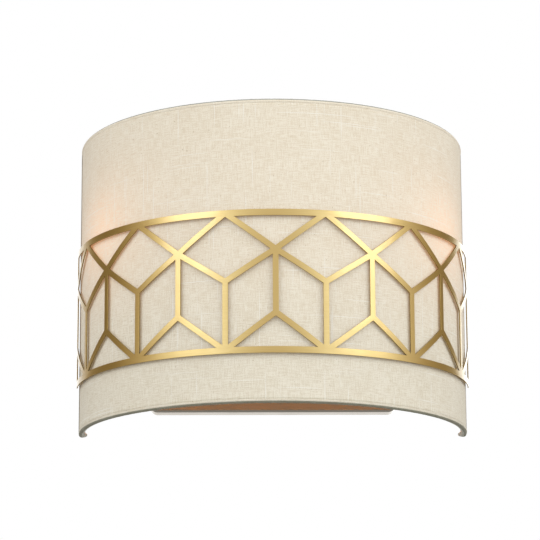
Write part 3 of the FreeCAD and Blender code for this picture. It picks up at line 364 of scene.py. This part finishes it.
def moulded(name, colour, shade, roughness, ior, texture=0.25 * MM, depth=0.02 * MM, glaze=0.0):
    """A painted, moulded or glazed surface with a fine texture and a faint change of tone. texture is how
    wide its bumps are and depth is how deep, in metres. glaze is a clear coat over it."""
    material, tree = new_material(name)
    place = add(tree, "TexCoord")["Object"]
    fine = add(tree, "TexNoise", {"Vector": place, "Scale": 0.4 / texture, "Detail": 2.0})[0]
    broad = add(tree, "TexNoise", {"Vector": place, "Scale": 1.0 / TONE_PATCH, "Detail": 3.0})[0]
    share = add(tree, "MapRange", [broad, 0.35, 0.75])[0]
    tone = add(tree, "Mix", {0: share, 6: linear(colour), 7: linear(shade)}, data_type="RGBA")[2]
    both = add(tree, "Math", [fine, broad], operation="ADD")[0]
    gloss = add(tree, "MapRange", [both, 0.7, 1.3, roughness * 0.85, roughness * 1.25])[0]
    grain = add(tree, "Bump", {"Strength": 0.3, "Distance": depth, "Height": fine})[0]
    shader = add(tree, "BsdfPrincipled", {
        "Base Color": tone, "Roughness": gloss, "IOR": ior, "Normal": grain,
        "Coat Weight": glaze, "Coat Roughness": 0.05})[0]
    add(tree, "OutputMaterial", [shader])
    return material


NECK_DIM = 52 * MM  # a lamp's glass is dimmest up to here, from the middle of the light
NECK_BRIGHT = 84 * MM  # and brightest from here on


def lit_opal_glass():
    """Opal glass of a lit lamp: white, smooth and glowing warm, a little less at the neck where no
    filament is near."""
    material, tree = new_material("lit_opal_glass")
    place = add(tree, "TexCoord")["Object"]
    across = add(tree, "SeparateXYZ", [place])[0]
    along = add(tree, "Math", [across], operation="ABSOLUTE")[0]
    haze = add(tree, "TexNoise", {"Vector": place, "Scale": 1.0 / GLASS_HAZE, "Detail": 2.0})[0]
    level = add(tree, "MapRange", [along, NECK_DIM, NECK_BRIGHT, 2.0, 5.2])[0]
    cloud = add(tree, "MapRange", [haze, 0.3, 0.7, 0.95, 1.05])[0]
    level = add(tree, "Math", [level, cloud], operation="MULTIPLY")[0]
    shader = add(tree, "BsdfPrincipled", {
        "Base Color": linear("#F7F1E6"), "Roughness": 0.2, "IOR": 1.5,
        "Emission Color": linear("#FFA252"), "Emission Strength": level})[0]
    add(tree, "OutputMaterial", [shader])
    return material


# Oatmeal linen, unbleached and undyed, laminated to the lining. A painted glow stands in for the
# lamps showing through it.
linen = flax_linen("woven_flax_linen", "#F0EAD9", "#DFD6C0", "#B3A27F", backlit=0.21)
# The same cloth folded double, so that no light comes through. A rim's crown is painted darker
# and greyer: painted shade, where it faces away from the light.
hem_linen = flax_linen("folded_flax_linen", "#E4E0D2", "#D3CEBE", "#A3987E", slubs=0.0)
upper_crown_painted_shade = flax_linen("flax_linen_painted_shade", "#A9A99C", "#94948A", "#7E7763", slubs=0.0)
lower_crown_painted_shade = flax_linen("flax_linen_painted_shade_below", "#A6A492", "#8F8B76", "#746A52", slubs=0.0)
# Off-white styrene film of a hardback shade.
lining = moulded("laminated_styrene_lining", "#F1ECE0", "#E9E2D2", 0.55, 1.59)
# Rolled brass sheet, satin brushed along the band and lacquered. Its cut edges stay bare and darker.
brass_sheet = fine_metal("lacquered_satin_brass_sheet", "#E0CA8C", "#CBB371", 0.34, 0.6, "UV",
                         (50 / 3, 0.2, 1000), lacquer=1.0)
cut_brass = fine_metal("laser_cut_brass_edge", "#A78B4E", "#7F6732", 0.45, 1.0, "UV",
                       (1 / 3, 10 / 3, 1000))
rivet_brass = fine_metal("plain_rivet_brass", "#D9BC7C", "#C6A663", 0.3, 0.5)
# Brass turned on a lathe, with its tool marks round it.
turned_brass = fine_metal("turned_brass", "#D9B973", "#BC9850", 0.24, 0.6,
                          line=(10 / 9, 0.25, 10 / 9))
# Satin nickel plate, brushed level.
pan_nickel = fine_metal("satin_nickel_plate", "#B9B2A6", "#ADA598", 0.2, 0.4,
                        line=(100 / 3, 10 / 9, 10 / 9), bump=0.01)
# Bright zinc plate, and wire drawn and galvanised.
zinc = fine_metal("zinc_plated_steel", "#C3C6C9", "#A9ACB0", 0.36, 0.8)
drawn_wire = fine_metal("drawn_galvanised_wire", "#C8C8C4", "#A8A8A4", 0.4, 0.8)
# The green of earthing screws.
green_paint = moulded("green_earth_paint", "#2F7F45", "#266B39", 0.4, 1.5)
# Lampholder bodies of glazed porcelain, with drawn aluminium sleeves.
porcelain = moulded("glazed_porcelain", "#F3F1EA", "#ECE9DF", 0.12, 1.5, 2.0 * MM, 0.02 * MM, glaze=0.5)
aluminium = fine_metal("drawn_aluminium", "#D6D6D4", "#BDBDBB", 0.3, 0.7,
                       line=(1 / 3, 50 / 3, 50 / 3))
# Lamp caps of nickel-plated brass, and the black glass that holds their tip contacts.
nickel_cap = fine_metal("nickel_plated_cap", "#D8D6D0", "#B9B6AE", 0.22, 0.6,
                        line=(1 / 3, 50 / 3, 50 / 3))
black_glass = moulded("vitreous_black_glass", "#17171A", "#232327", 0.08, 1.52, 1.5 * MM, 0.01 * MM)
opal = lit_opal_glass()
# Plastics: the leads' insulation, the terminal block and the bushing.
white_pvc = moulded("white_pvc_insulation", "#EDECE7", "#E2E0DA", 0.35, 1.53)
nylon = moulded("natural_nylon", "#E8E4D6", "#DED9C8", 0.42, 1.53)
black_nylon = moulded("black_nylon", "#26262A", "#1D1D20", 0.45, 1.53)

NODE_FINISHES = {
    "shade_liner": lining, "band_rivets": rivet_brass, "back_plate": pan_nickel,
    "lamp_bracket": pan_nickel, "upper_strap": pan_nickel, "lower_strap": pan_nickel,
    "mounting_bar": zinc, "pan_screws": zinc, "bracket_screws": zinc, "nipple_nuts": zinc,
    "socket_nipples": zinc, "shade_studs": zinc, "washer_upper": zinc, "washer_lower": zinc,
    "cap_nuts": turned_brass, "thumb_nut_upper": turned_brass, "thumb_nut_lower": turned_brass,
    "ground_screw": green_paint, "wire_bushing": black_nylon, "terminal_block": nylon,
    "top_ring_wire": drawn_wire, "bottom_ring_wire": drawn_wire,
}
for side in ("left", "right"):
    NODE_FINISHES.update({
        f"end_wire_{side}": drawn_wire, f"socket_{side}": porcelain, f"screw_shell_{side}": aluminium,
        f"centre_contact_{side}": turned_brass, f"bulb_tip_{side}": black_glass,
        f"bulb_cap_{side}": nickel_cap, f"bulb_glass_{side}": opal, f"lead_{side}": white_pvc,
    })
for node, finish in NODE_FINISHES.items():
    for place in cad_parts[node].material_slots:
        place.material = finish


# ------------------------------ the linen cover
def linen_cover():
    """The cloth pasted round the lining: a drum surface of angle and height, whose radius falls in long
    uneven ripples away from the rims, with the inner face one cloth thickness inside it."""
    end = math.acos(BACK_EDGE / RADIUS)
    angle = np.linspace(-end, end, 221)[None, :]
    height = np.linspace(-HEM_SPRING, HEM_SPRING, 101)[:, None]
    along = RADIUS * angle
    free = np.clip((HEM_SPRING - np.abs(height)) / RIPPLE_FREE, 0, 1)
    dip = RIPPLE_DEPTH / 2 * free * (1 + ripple(along, height, 3, (9, 14, 23, 31)))
    outer = on_drum(angle, RADIUS - dip, height)
    inner = on_drum(angle, RADIUS - LINEN_THICK + 0 * dip, height)
    points, faces = sheet_shell(outer, inner)
    uv = np.stack(np.broadcast_arrays(along, height), -1).reshape(-1, 2)
    piece = new_piece("linen_cover", points, faces, [linen], uv=np.concatenate([uv, uv]))
    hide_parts("shade_fabric")
    return piece


cover = linen_cover()


# ------------------------------ the folded hems
def hem_profile(leg, steps):
    """A tape folded over an edge, as offsets (outwards, towards the edge) from the middle of its crown.
    The outside goes up the outer leg, round a half circle and down the inner leg. The inside comes back
    a tape's thickness within. The tape is thinner towards both its edges."""
    turn = np.linspace(0, math.pi, steps)
    crown = HEM_CROWN + HEM_THICK
    arc = np.stack([crown * np.cos(turn), crown * np.sin(turn)], -1)
    leg_steps = np.linspace(-leg, 0, 4)[:-1]
    thick = np.clip((leg_steps + leg) / (0.6 * leg), 0, 1)
    outer_leg = np.stack([crown - TAPE_THINNED * (1 - thick), leg_steps], -1)
    inner_leg = outer_leg[::-1] * [-1, 1]
    outside = np.concatenate([outer_leg, arc, inner_leg])
    inner_arc = np.stack([HEM_CROWN * np.cos(turn), HEM_CROWN * np.sin(turn)], -1)
    lining_leg = np.stack([np.full(3, HEM_CROWN), leg_steps], -1)
    inside = np.concatenate([lining_leg, inner_arc, lining_leg[::-1] * [-1, 1]])
    return outside, inside[::-1]


def closed_tube(points, inside_out):
    """The points of a grid whose columns close round, row by row, and its faces with a cut end at each
    end. inside_out turns all the faces over."""
    rows, columns = points.shape[:2]
    faces = [list(f) for f in grid_faces(rows, columns, close_columns=True)]
    faces += [list(range(columns))[::-1], [(rows - 1) * columns + i for i in range(columns)]]
    if inside_out:
        faces = [f[::-1] for f in faces]
    return points.reshape(-1, 3), faces


def round_the_fold(profile):
    """The way along a profile to each of its points, in metres."""
    return np.concatenate([[0], np.cumsum(np.linalg.norm(np.diff(profile, axis=0), axis=1))])


def square_ends(piece, columns, turning):
    """Flat shading for a fold's two cut ends and the two thin edges of its tape, so they look square."""
    smooth = np.ones(len(piece.data.polygons), dtype=bool)
    line = np.arange(len(smooth) - 2) % columns
    smooth[:-2] = (line != turning - 1) & (line != columns - 1)
    smooth[-2:] = False
    piece.data.polygons.foreach_set("use_smooth", smooth)


def rim_hem(name, node, sign, leg, edge):
    """The hem of a rim: the fold's profile carried round the drum. The crown puckers a little where the
    tape goes round the curve, and the fold is fuller near its ends, where the cloth's side is turned in.
    The front of the fold is the cover's own cloth, its crown is cloth painted darker as shade, and
    the rest is tape."""
    outside, inside = hem_profile(leg, 15)
    profile = np.concatenate([outside, inside])
    end = math.acos(WALL_GAP / RADIUS)
    angle = np.linspace(-end, end, 641)
    along = RADIUS * angle
    full = np.exp(-((end - np.abs(angle)) * RADIUS / END_BULGE_REACH) ** 2)
    pucker = RIM_PUCKER * ripple(along, 0 * along, 17 if sign > 0 else 29, (150, 210, 270, 340, 95))
    depth = np.clip(profile[:, 1] / HEM_CROWN, 0, 1)
    inner_side = np.clip(-profile[:, 0] / HEM_CROWN, 0, 1)
    out = profile[:, 0][None, :] - (full[:, None] * END_BULGE) * inner_side[None, :]
    rise = profile[:, 1][None, :] + (pucker[:, None] - RIM_PUCKER) * depth[None, :]
    grid = on_drum(angle[:, None], RADIUS - HEM_CROWN + out, sign * (HEM_SPRING + rise))
    points, faces = closed_tube(grid, sign < 0)
    lengths = round_the_fold(profile)
    uv = np.stack(np.broadcast_arrays(along[:, None], lengths[None, :]), -1).reshape(-1, 2)
    piece = new_piece(name, points, faces, [linen, edge, hem_linen], uv=uv)
    line = np.arange(len(faces) - 2) % len(profile)
    kinds = np.full(len(faces), 2, dtype=np.int32)
    # the crown's faces take the cloth painted darker as shade
    kinds[:-2] = np.digitize(line, CROWN_SHADE_LINES)
    piece.data.polygons.foreach_set("material_index", kinds)
    square_ends(piece, len(profile), len(outside))
    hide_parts(node)
    return piece


def side_hem(name, node, side):
    """The hem of a back edge: the same fold carried straight up between the rim hems, bowed a little in
    and out by a slow ripple."""
    outside, inside = hem_profile(SIDE_LEG, 13)
    profile = np.concatenate([outside, inside])
    height = np.linspace(-(HEM_SPRING - TOP_LEG), HEM_SPRING - TOP_LEG, 201)
    sway = SIDE_SWAY * ripple(height, 0 * height, 41 + side, (40, 65, 110))
    depth = np.clip(profile[:, 1] / HEM_CROWN, 0, 1)
    x = side * (RADIUS - HEM_CROWN + profile[:, 0])[None, :] + 0 * height[:, None]
    y = -BACK_EDGE + profile[:, 1][None, :] + (sway - SIDE_SWAY)[:, None] * depth[None, :]
    z = height[:, None] + 0 * x
    points, faces = closed_tube(np.stack([x, y, z], -1), side < 0)
    lengths = round_the_fold(profile)
    uv = np.stack(np.broadcast_arrays(lengths[None, :], height[:, None]), -1).reshape(-1, 2)
    piece = new_piece(name, points, faces, [hem_linen], uv=uv)
    square_ends(piece, len(profile), len(outside))
    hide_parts(node)
    return piece


hems = [
    rim_hem("top_rolled_hem", "top_hem", 1, TOP_LEG, upper_crown_painted_shade),
    rim_hem("bottom_rolled_hem", "bottom_hem", -1, BOTTOM_LEG, lower_crown_painted_shade),
    side_hem("left_side_fold", "side_hem_left", -1),
    side_hem("right_side_fold", "side_hem_right", 1),
]


# ------------------------------ the lattice band
def lattice_windows():
    """The openings as lists of crossings (column, height). Odd columns have an upright strip from the
    middle to the lower ring, even ones from the upper crossing to the lower, and slanted strips join
    them."""
    top = BAND_HALF - RING_WIDTH / 2
    rise = CROSSING_RISE
    windows = []
    for column in range(-LAST_COLUMN, LAST_COLUMN + 1):
        left = max(column - 1, -LAST_COLUMN)
        right = min(column + 1, LAST_COLUMN)
        if column % 2 == 0:
            upper = [(left, top), (column, rise), (right, top)]
            lower = [(left, -top), (right, -top), (column, -rise)]
            windows += [upper, lower]
        else:
            windows.append([(column, top), (left, rise), (column, 0.0), (right, rise)])
            windows.append([(left, rise), (left, -rise), (column, -top), (column, 0.0)])
            windows.append([(column, 0.0), (column, -top), (right, -rise), (right, rise)])
    return windows


def margin(start, end):
    """Half the width of the strip between two crossings."""
    if abs(start[1]) == abs(end[1]) == BAND_HALF - RING_WIDTH / 2:
        return RING_WIDTH / 2
    if abs(start[0]) == abs(end[0]) == LAST_COLUMN:
        return END_STRIP_WIDTH / 2
    return STRIP_WIDTH / 2


def flat(crossing):
    """A crossing's place (length round the outside, height) on the unrolled band."""
    return np.array([crossing[0] * COLUMN_ANGLE * BAND_OUTER, crossing[1]])


def window_corners(loop):
    """The corners of the cut-out window inside a loop of crossings: the loop's sides, each moved inwards
    by half its strip, meet there."""
    area = 0.0
    for a, b in zip(loop, loop[1:] + loop[:1]):
        p, q = flat(a), flat(b)
        area += p[0] * q[1] - q[0] * p[1]
    if area < 0:
        loop = loop[::-1]
    sides = []
    for a, b in zip(loop, loop[1:] + loop[:1]):
        way = flat(b) - flat(a)
        way = way / np.linalg.norm(way)
        sides.append((flat(a) + margin(a, b) * np.array([-way[1], way[0]]), way))
    corners = {}
    for index, crossing in enumerate(loop):
        (p, u), (q, v) = sides[index - 1], sides[index]
        gap = q - p
        share = (gap[0] * v[1] - gap[1] * v[0]) / (u[0] * v[1] - u[1] * v[0])
        corners[crossing] = p + share * u
    return loop, corners


def lattice_patches():
    """Flat grids that make up the sheet. Each strip is a patch between the facing corners of the two
    windows beside it, and each crossing is a fan over the corners of the windows round it. Outside the
    rings and ends the corners lie on the sheet's outer edge."""
    half_length = LAST_COLUMN * COLUMN_ANGLE * BAND_OUTER + END_STRIP_WIDTH / 2
    beside = {}
    around = {}
    for window in lattice_windows():
        loop, corners = window_corners(window)
        for a, b in zip(loop, loop[1:] + loop[:1]):
            beside[a, b] = (corners[a], corners[b])
        for crossing in loop:
            around.setdefault(crossing, []).append(corners[crossing])
    strips = []
    outer_edge = {}
    for (a, b), (start, end) in beside.items():
        if (b, a) in beside:
            if a < b:
                far_end, far_start = beside[b, a]
                strips.append((start, end, far_start, far_end))
            continue
        rims = []
        for crossing in (a, b):
            place = flat(crossing)
            if abs(a[1]) == abs(b[1]) == BAND_HALF - RING_WIDTH / 2:
                rims.append(np.array([place[0], math.copysign(BAND_HALF, place[1])]))
            else:
                rims.append(np.array([math.copysign(half_length, place[0]), place[1]]))
            outer_edge.setdefault(crossing, []).append(rims[-1])
        strips.append((start, end, rims[0], rims[1]))
    fans = []
    for crossing, corners in around.items():
        spots = list(corners)
        for rim in outer_edge.get(crossing, []):
            if not any(np.allclose(rim, s) for s in spots):
                spots.append(rim)
        place = flat(crossing)
        if abs(crossing[0]) == LAST_COLUMN and abs(crossing[1]) == BAND_HALF - RING_WIDTH / 2:
            corner = (math.copysign(half_length, place[0]), math.copysign(BAND_HALF, place[1]))
            spots.append(np.array(corner))
        order = sorted(spots, key=lambda s: math.atan2(s[1] - place[1], s[0] - place[0]))
        fans.append((place, order))
    return strips, fans


def turned_outwards(faces, spots):
    """Flat faces, one row of point numbers each, with those that run clockwise turned over. The sign of a
    face's area is that of the sum of the cross products of its neighbouring corners."""
    corner = spots[faces]
    after = np.roll(corner, -1, axis=1)
    area = np.sum(corner[..., 0] * after[..., 1] - after[..., 0] * corner[..., 1], axis=1)
    return np.where(area[:, None] > 0, faces, faces[:, ::-1])


def border_edges(*groups):
    """The pairs of neighbouring corners that only one face has, in the direction of that face."""
    pairs = np.concatenate([np.stack([faces, np.roll(faces, -1, axis=1)], -1).reshape(-1, 2)
                            for faces in groups])
    size = pairs.max() + 1
    return pairs[~np.isin(pairs @ [1, size], pairs @ [size, 1])]


def lattice_band():
    """The band: the flat patches are divided along each strip, rolled to the drum's curve, and given an
    inner face one sheet thickness in and square cut walls between them."""
    strips, fans = lattice_patches()
    spots = []
    quads = []
    triangles = []
    made = 0
    for start, end, far_start, far_end in strips:
        count = max(2, round(np.linalg.norm(end - start) / GRID_STEP))
        share = np.linspace(0, 1, count + 1)[:, None]
        near = start + share * (end - start)
        far = far_start + share * (far_end - far_start)
        spots.append(np.stack([near, (near + far) / 2, far], 1).reshape(-1, 2))
        quads.append(grid_faces(count + 1, 3, start=made))
        made += len(spots[-1])
    for place, ring in fans:
        ring = np.array(ring)
        halfway = (ring + np.roll(ring, -1, axis=0)) / 2
        spots.append(np.concatenate([[place], np.stack([ring, halfway], 1).reshape(-1, 2)]))
        turn = np.arange(2 * len(ring))
        triangles.append(made + np.stack([0 * turn, turn + 1, (turn + 1) % len(turn) + 1], -1))
        made += len(spots[-1])
    spots = np.concatenate(spots)
    keys, member = np.unique(np.round(spots / SAME_SPOT).astype(np.int64), axis=0, return_inverse=True)
    member = member.ravel()
    merged = np.zeros((len(keys), 2))
    merged[member] = spots
    quads = turned_outwards(member[np.concatenate(quads)], merged)
    triangles = turned_outwards(member[np.concatenate(triangles)], merged)
    border = border_edges(quads, triangles)
    count = len(merged)
    walls = np.concatenate([border[:, ::-1], border + count], 1)
    angle = merged[:, 0] / BAND_OUTER
    height = BAND_MIDDLE + merged[:, 1]
    points = np.concatenate([on_drum(angle, BAND_OUTER, height),
                             on_drum(angle, BAND_OUTER - BAND_THICK, height)])
    groups = (quads, triangles, quads[:, ::-1] + count, triangles[:, ::-1] + count, walls)
    faces = [face for group in groups for face in group.tolist()]
    piece = new_piece("cut_out_band", points, faces, [brass_sheet, cut_brass],
                      uv=np.concatenate([merged, merged]))
    kinds = np.zeros(len(faces), dtype=np.int32)
    kinds[-len(walls):] = 1
    piece.data.polygons.foreach_set("material_index", kinds)
    edge_round = piece.modifiers.new("edge_round", "BEVEL")
    edge_round.width = SHEET_EDGE_ROUND
    edge_round.segments = 2
    edge_round.limit_method = "ANGLE"
    edge_round.angle_limit = math.radians(60)
    edge_round.material = 0
    face_shading = piece.modifiers.new("face_shading", "WEIGHTED_NORMAL")
    face_shading.weight = 100
    face_shading.keep_sharp = False
    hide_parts("lattice_band")
    return piece


lattice_band()


# ------------------------------ lamp caps with rolled threads
THREAD_PITCH = 3.63 * MM
THREAD_CREST = 13.1 * MM
THREAD_DEPTH = 0.55 * MM
THREAD_RUN_OUT = 2 * MM
CAP_SHOULDER = 3 * MM
CAP_RIM = 4.5 * MM
CAP_NOSE = 7 * MM


def threaded_cap(side):
    """The screw cap of a lamp: radius over the length along the lamp and the turn round it. A rounded
    wave that climbs one pitch each turn makes the thread, between a sloped shoulder and a plain rim."""
    low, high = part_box(f"bulb_cap_{side}")
    sign = -1 if side == "left" else 1
    length = high[0] - low[0]
    start = high[0] if sign < 0 else low[0]
    turn = np.linspace(0, 2 * math.pi, 96, endpoint=False)[None, :]
    along = np.linspace(0, length, 151)[:, None]
    starting = np.clip((along - CAP_SHOULDER) / THREAD_RUN_OUT, 0, 1)
    ending = np.clip((length - CAP_RIM - along) / THREAD_RUN_OUT, 0, 1)
    wave = 0.5 - 0.5 * np.cos(2 * math.pi * (along / THREAD_PITCH - turn / (2 * math.pi)))
    radius = THREAD_CREST - THREAD_DEPTH * wave * starting * ending
    shoulder = np.clip(along / CAP_SHOULDER, 0, 1)
    radius = CAP_NOSE + (radius - CAP_NOSE) * np.sqrt(shoulder * (2 - shoulder))
    x = start + sign * along + 0 * turn
    y = -LAMP_REACH + radius * np.cos(turn)
    z = LAMP_HEIGHT + radius * np.sin(turn)
    points, faces = closed_tube(np.stack([x, y, z], -1), sign < 0)
    piece = new_piece(f"threaded_cap_{side}", points, faces, [nickel_cap], body=f"lamp_{side}")
    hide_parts(f"bulb_cap_{side}")
    return piece


for side in ("left", "right"):
    threaded_cap(side)


# ------------------------------ light and background
PANEL_SIZE = 1.2
FLOOR_LEVEL = -2.2
FLOOR_REACH = 6.0


def room_light(tree, parts):
    """How bright the surroundings are in each direction, for light that falls on a dull surface:
    brightest in front, dimmer behind, to the left, below and overhead. Each line of numbers is an axis, two
    places along it from -1 to 1, and what these two give, and the lines are multiplied."""
    level = 1.0
    for axis, *share in ((1, 0.6, -0.3, 0.36, 1.16), (0, -1.0, 0.2, 0.84, 1.0),
                         (2, -0.35, 0.0, 0.50, 1.0), (2, 0.45, 0.9, 1.0, 0.6)):
        factor = add(tree, "MapRange", [parts[axis], *share])[0]
        level = add(tree, "Math", [level, factor], operation="MULTIPLY")[0]
    return level


def mirrored_room(tree, parts):
    """How bright the surroundings are in a mirror, set to give the brass its highlights: two bright
    broad bands in front with the dimmer place of the camera between them, darkness to the sides, less so
    on the far right, and the pale wall behind, brighter at its right."""
    front = 0.0
    for axis, *share in ((1, 0.2, -0.34, 0.23, 0.74), (1, -0.34, -0.74, 0.0, 0.50),
                         (1, -0.80, -1.0, 0.0, -0.60), (0, 0.85, 1.0, 0.0, 0.20)):
        band = add(tree, "MapRange", [parts[axis], *share])[0]
        front = add(tree, "Math", [front, band], operation="ADD")[0]
    for share in ((-0.35, -0.12, 0.5, 1.0), (0.45, 0.9, 1.0, 0.45)):
        factor = add(tree, "MapRange", [parts[2], *share])[0]
        front = add(tree, "Math", [front, factor], operation="MULTIPLY")[0]
    wall = add(tree, "MapRange", [parts[1], 0.66, 0.86])[0]
    for axis, *share in ((0, -0.4, 0.4, 0.8, 1.9), (2, -0.3, 0.1, 0.5, 1.0)):
        factor = add(tree, "MapRange", [parts[axis], *share])[0]
        wall = add(tree, "Math", [wall, factor], operation="MULTIPLY")[0]
    return add(tree, "Math", [front, wall], operation="ADD")[0]


def surroundings():
    """The world: plain white where the camera looks past the light, a soft room for the light that falls
    on it, and a room of its own, warm where it is dim, for what the metals mirror."""
    world = bpy.data.worlds.new("studio")
    bpy.context.scene.world = world
    world.use_nodes = True
    tree = world.node_tree
    tree.nodes.clear()
    white = linear("#FFFFFF")
    direction = add(tree, "TexCoord")["Generated"]
    parts = add(tree, "SeparateXYZ", [direction])
    path = add(tree, "LightPath")
    glossy = path["Is Glossy Ray"]
    level = add(tree, "Mix", {0: glossy, 2: room_light(tree, parts), 3: mirrored_room(tree, parts)})[0]
    dim = add(tree, "MapRange", [level, 0.30, 1.10, 1.0, 0.0])[0]
    warm = add(tree, "Math", [glossy, dim], operation="MULTIPLY")[0]
    colour = add(tree, "Mix", {0: warm, 6: white, 7: linear("#FFDA99")}, data_type="RGBA")[2]
    seen = [path["Is Camera Ray"], path["Is Transmission Ray"]]
    clear = add(tree, "Math", seen, operation="MAXIMUM")[0]
    level = add(tree, "Mix", {0: clear, 2: level, 3: 1.0})[0]
    colour = add(tree, "Mix", {0: clear, 6: colour, 7: white}, data_type="RGBA")[2]
    background = add(tree, "Background", {"Color": colour, "Strength": level})[0]
    add(tree, "OutputWorld", [background])


def soft_panel(name, place, power):
    """A square lamp that faces the middle of the light."""
    data = bpy.data.lights.new(name, "AREA")
    data.shape = "RECTANGLE"
    data.size = PANEL_SIZE
    data.size_y = PANEL_SIZE
    data.energy = power
    panel = bpy.data.objects.new(name, data)
    bpy.context.scene.collection.objects.link(panel)
    ahead = np.array([0.0, -0.05, 0.0]) - np.array(place)
    ahead = ahead / np.linalg.norm(ahead)
    side = np.cross(ahead, [0.0, 0.0, 1.0])
    side = side / np.linalg.norm(side)
    turned = np.eye(4)
    turned[:3, 0] = side
    turned[:3, 1] = np.cross(side, ahead)
    turned[:3, 2] = -ahead
    turned[:3, 3] = place
    panel.matrix_world = turned.T.tolist()


def pale_floor():
    """A floor far below, which glows for the camera alone, so that it melts into the white behind."""
    reach = np.linspace(-FLOOR_REACH, FLOOR_REACH, 13)
    x, y = np.meshgrid(reach, reach)
    points = np.stack([x, y, np.full(x.shape, FLOOR_LEVEL)], -1).reshape(-1, 3)
    mesh = bpy.data.meshes.new("pale_floor")
    mesh.from_pydata(points.tolist(), [], grid_faces(13, 13).tolist())
    floor = bpy.data.objects.new("pale_floor", mesh)
    bpy.context.scene.collection.objects.link(floor)
    material, tree = new_material("pale_floor")
    seen = add(tree, "LightPath")["Is Camera Ray"]
    glow = add(tree, "Math", [seen, 0.75], operation="MULTIPLY")[0]
    shader = add(tree, "BsdfPrincipled", {
        "Base Color": linear("#C4C4C2"), "Roughness": 0.9, "Emission Color": linear("#FFFFFF"),
        "Emission Strength": glow})[0]
    add(tree, "OutputMaterial", [shader])
    mesh.materials.append(material)


surroundings()
soft_panel("left_panel", place=(-1.35, -1.20, 0.95), power=7.5)
soft_panel("right_panel", place=(1.50, -1.10, 0.95), power=9.2)
pale_floor()
bpy.context.scene.view_settings.view_transform = "Standard"
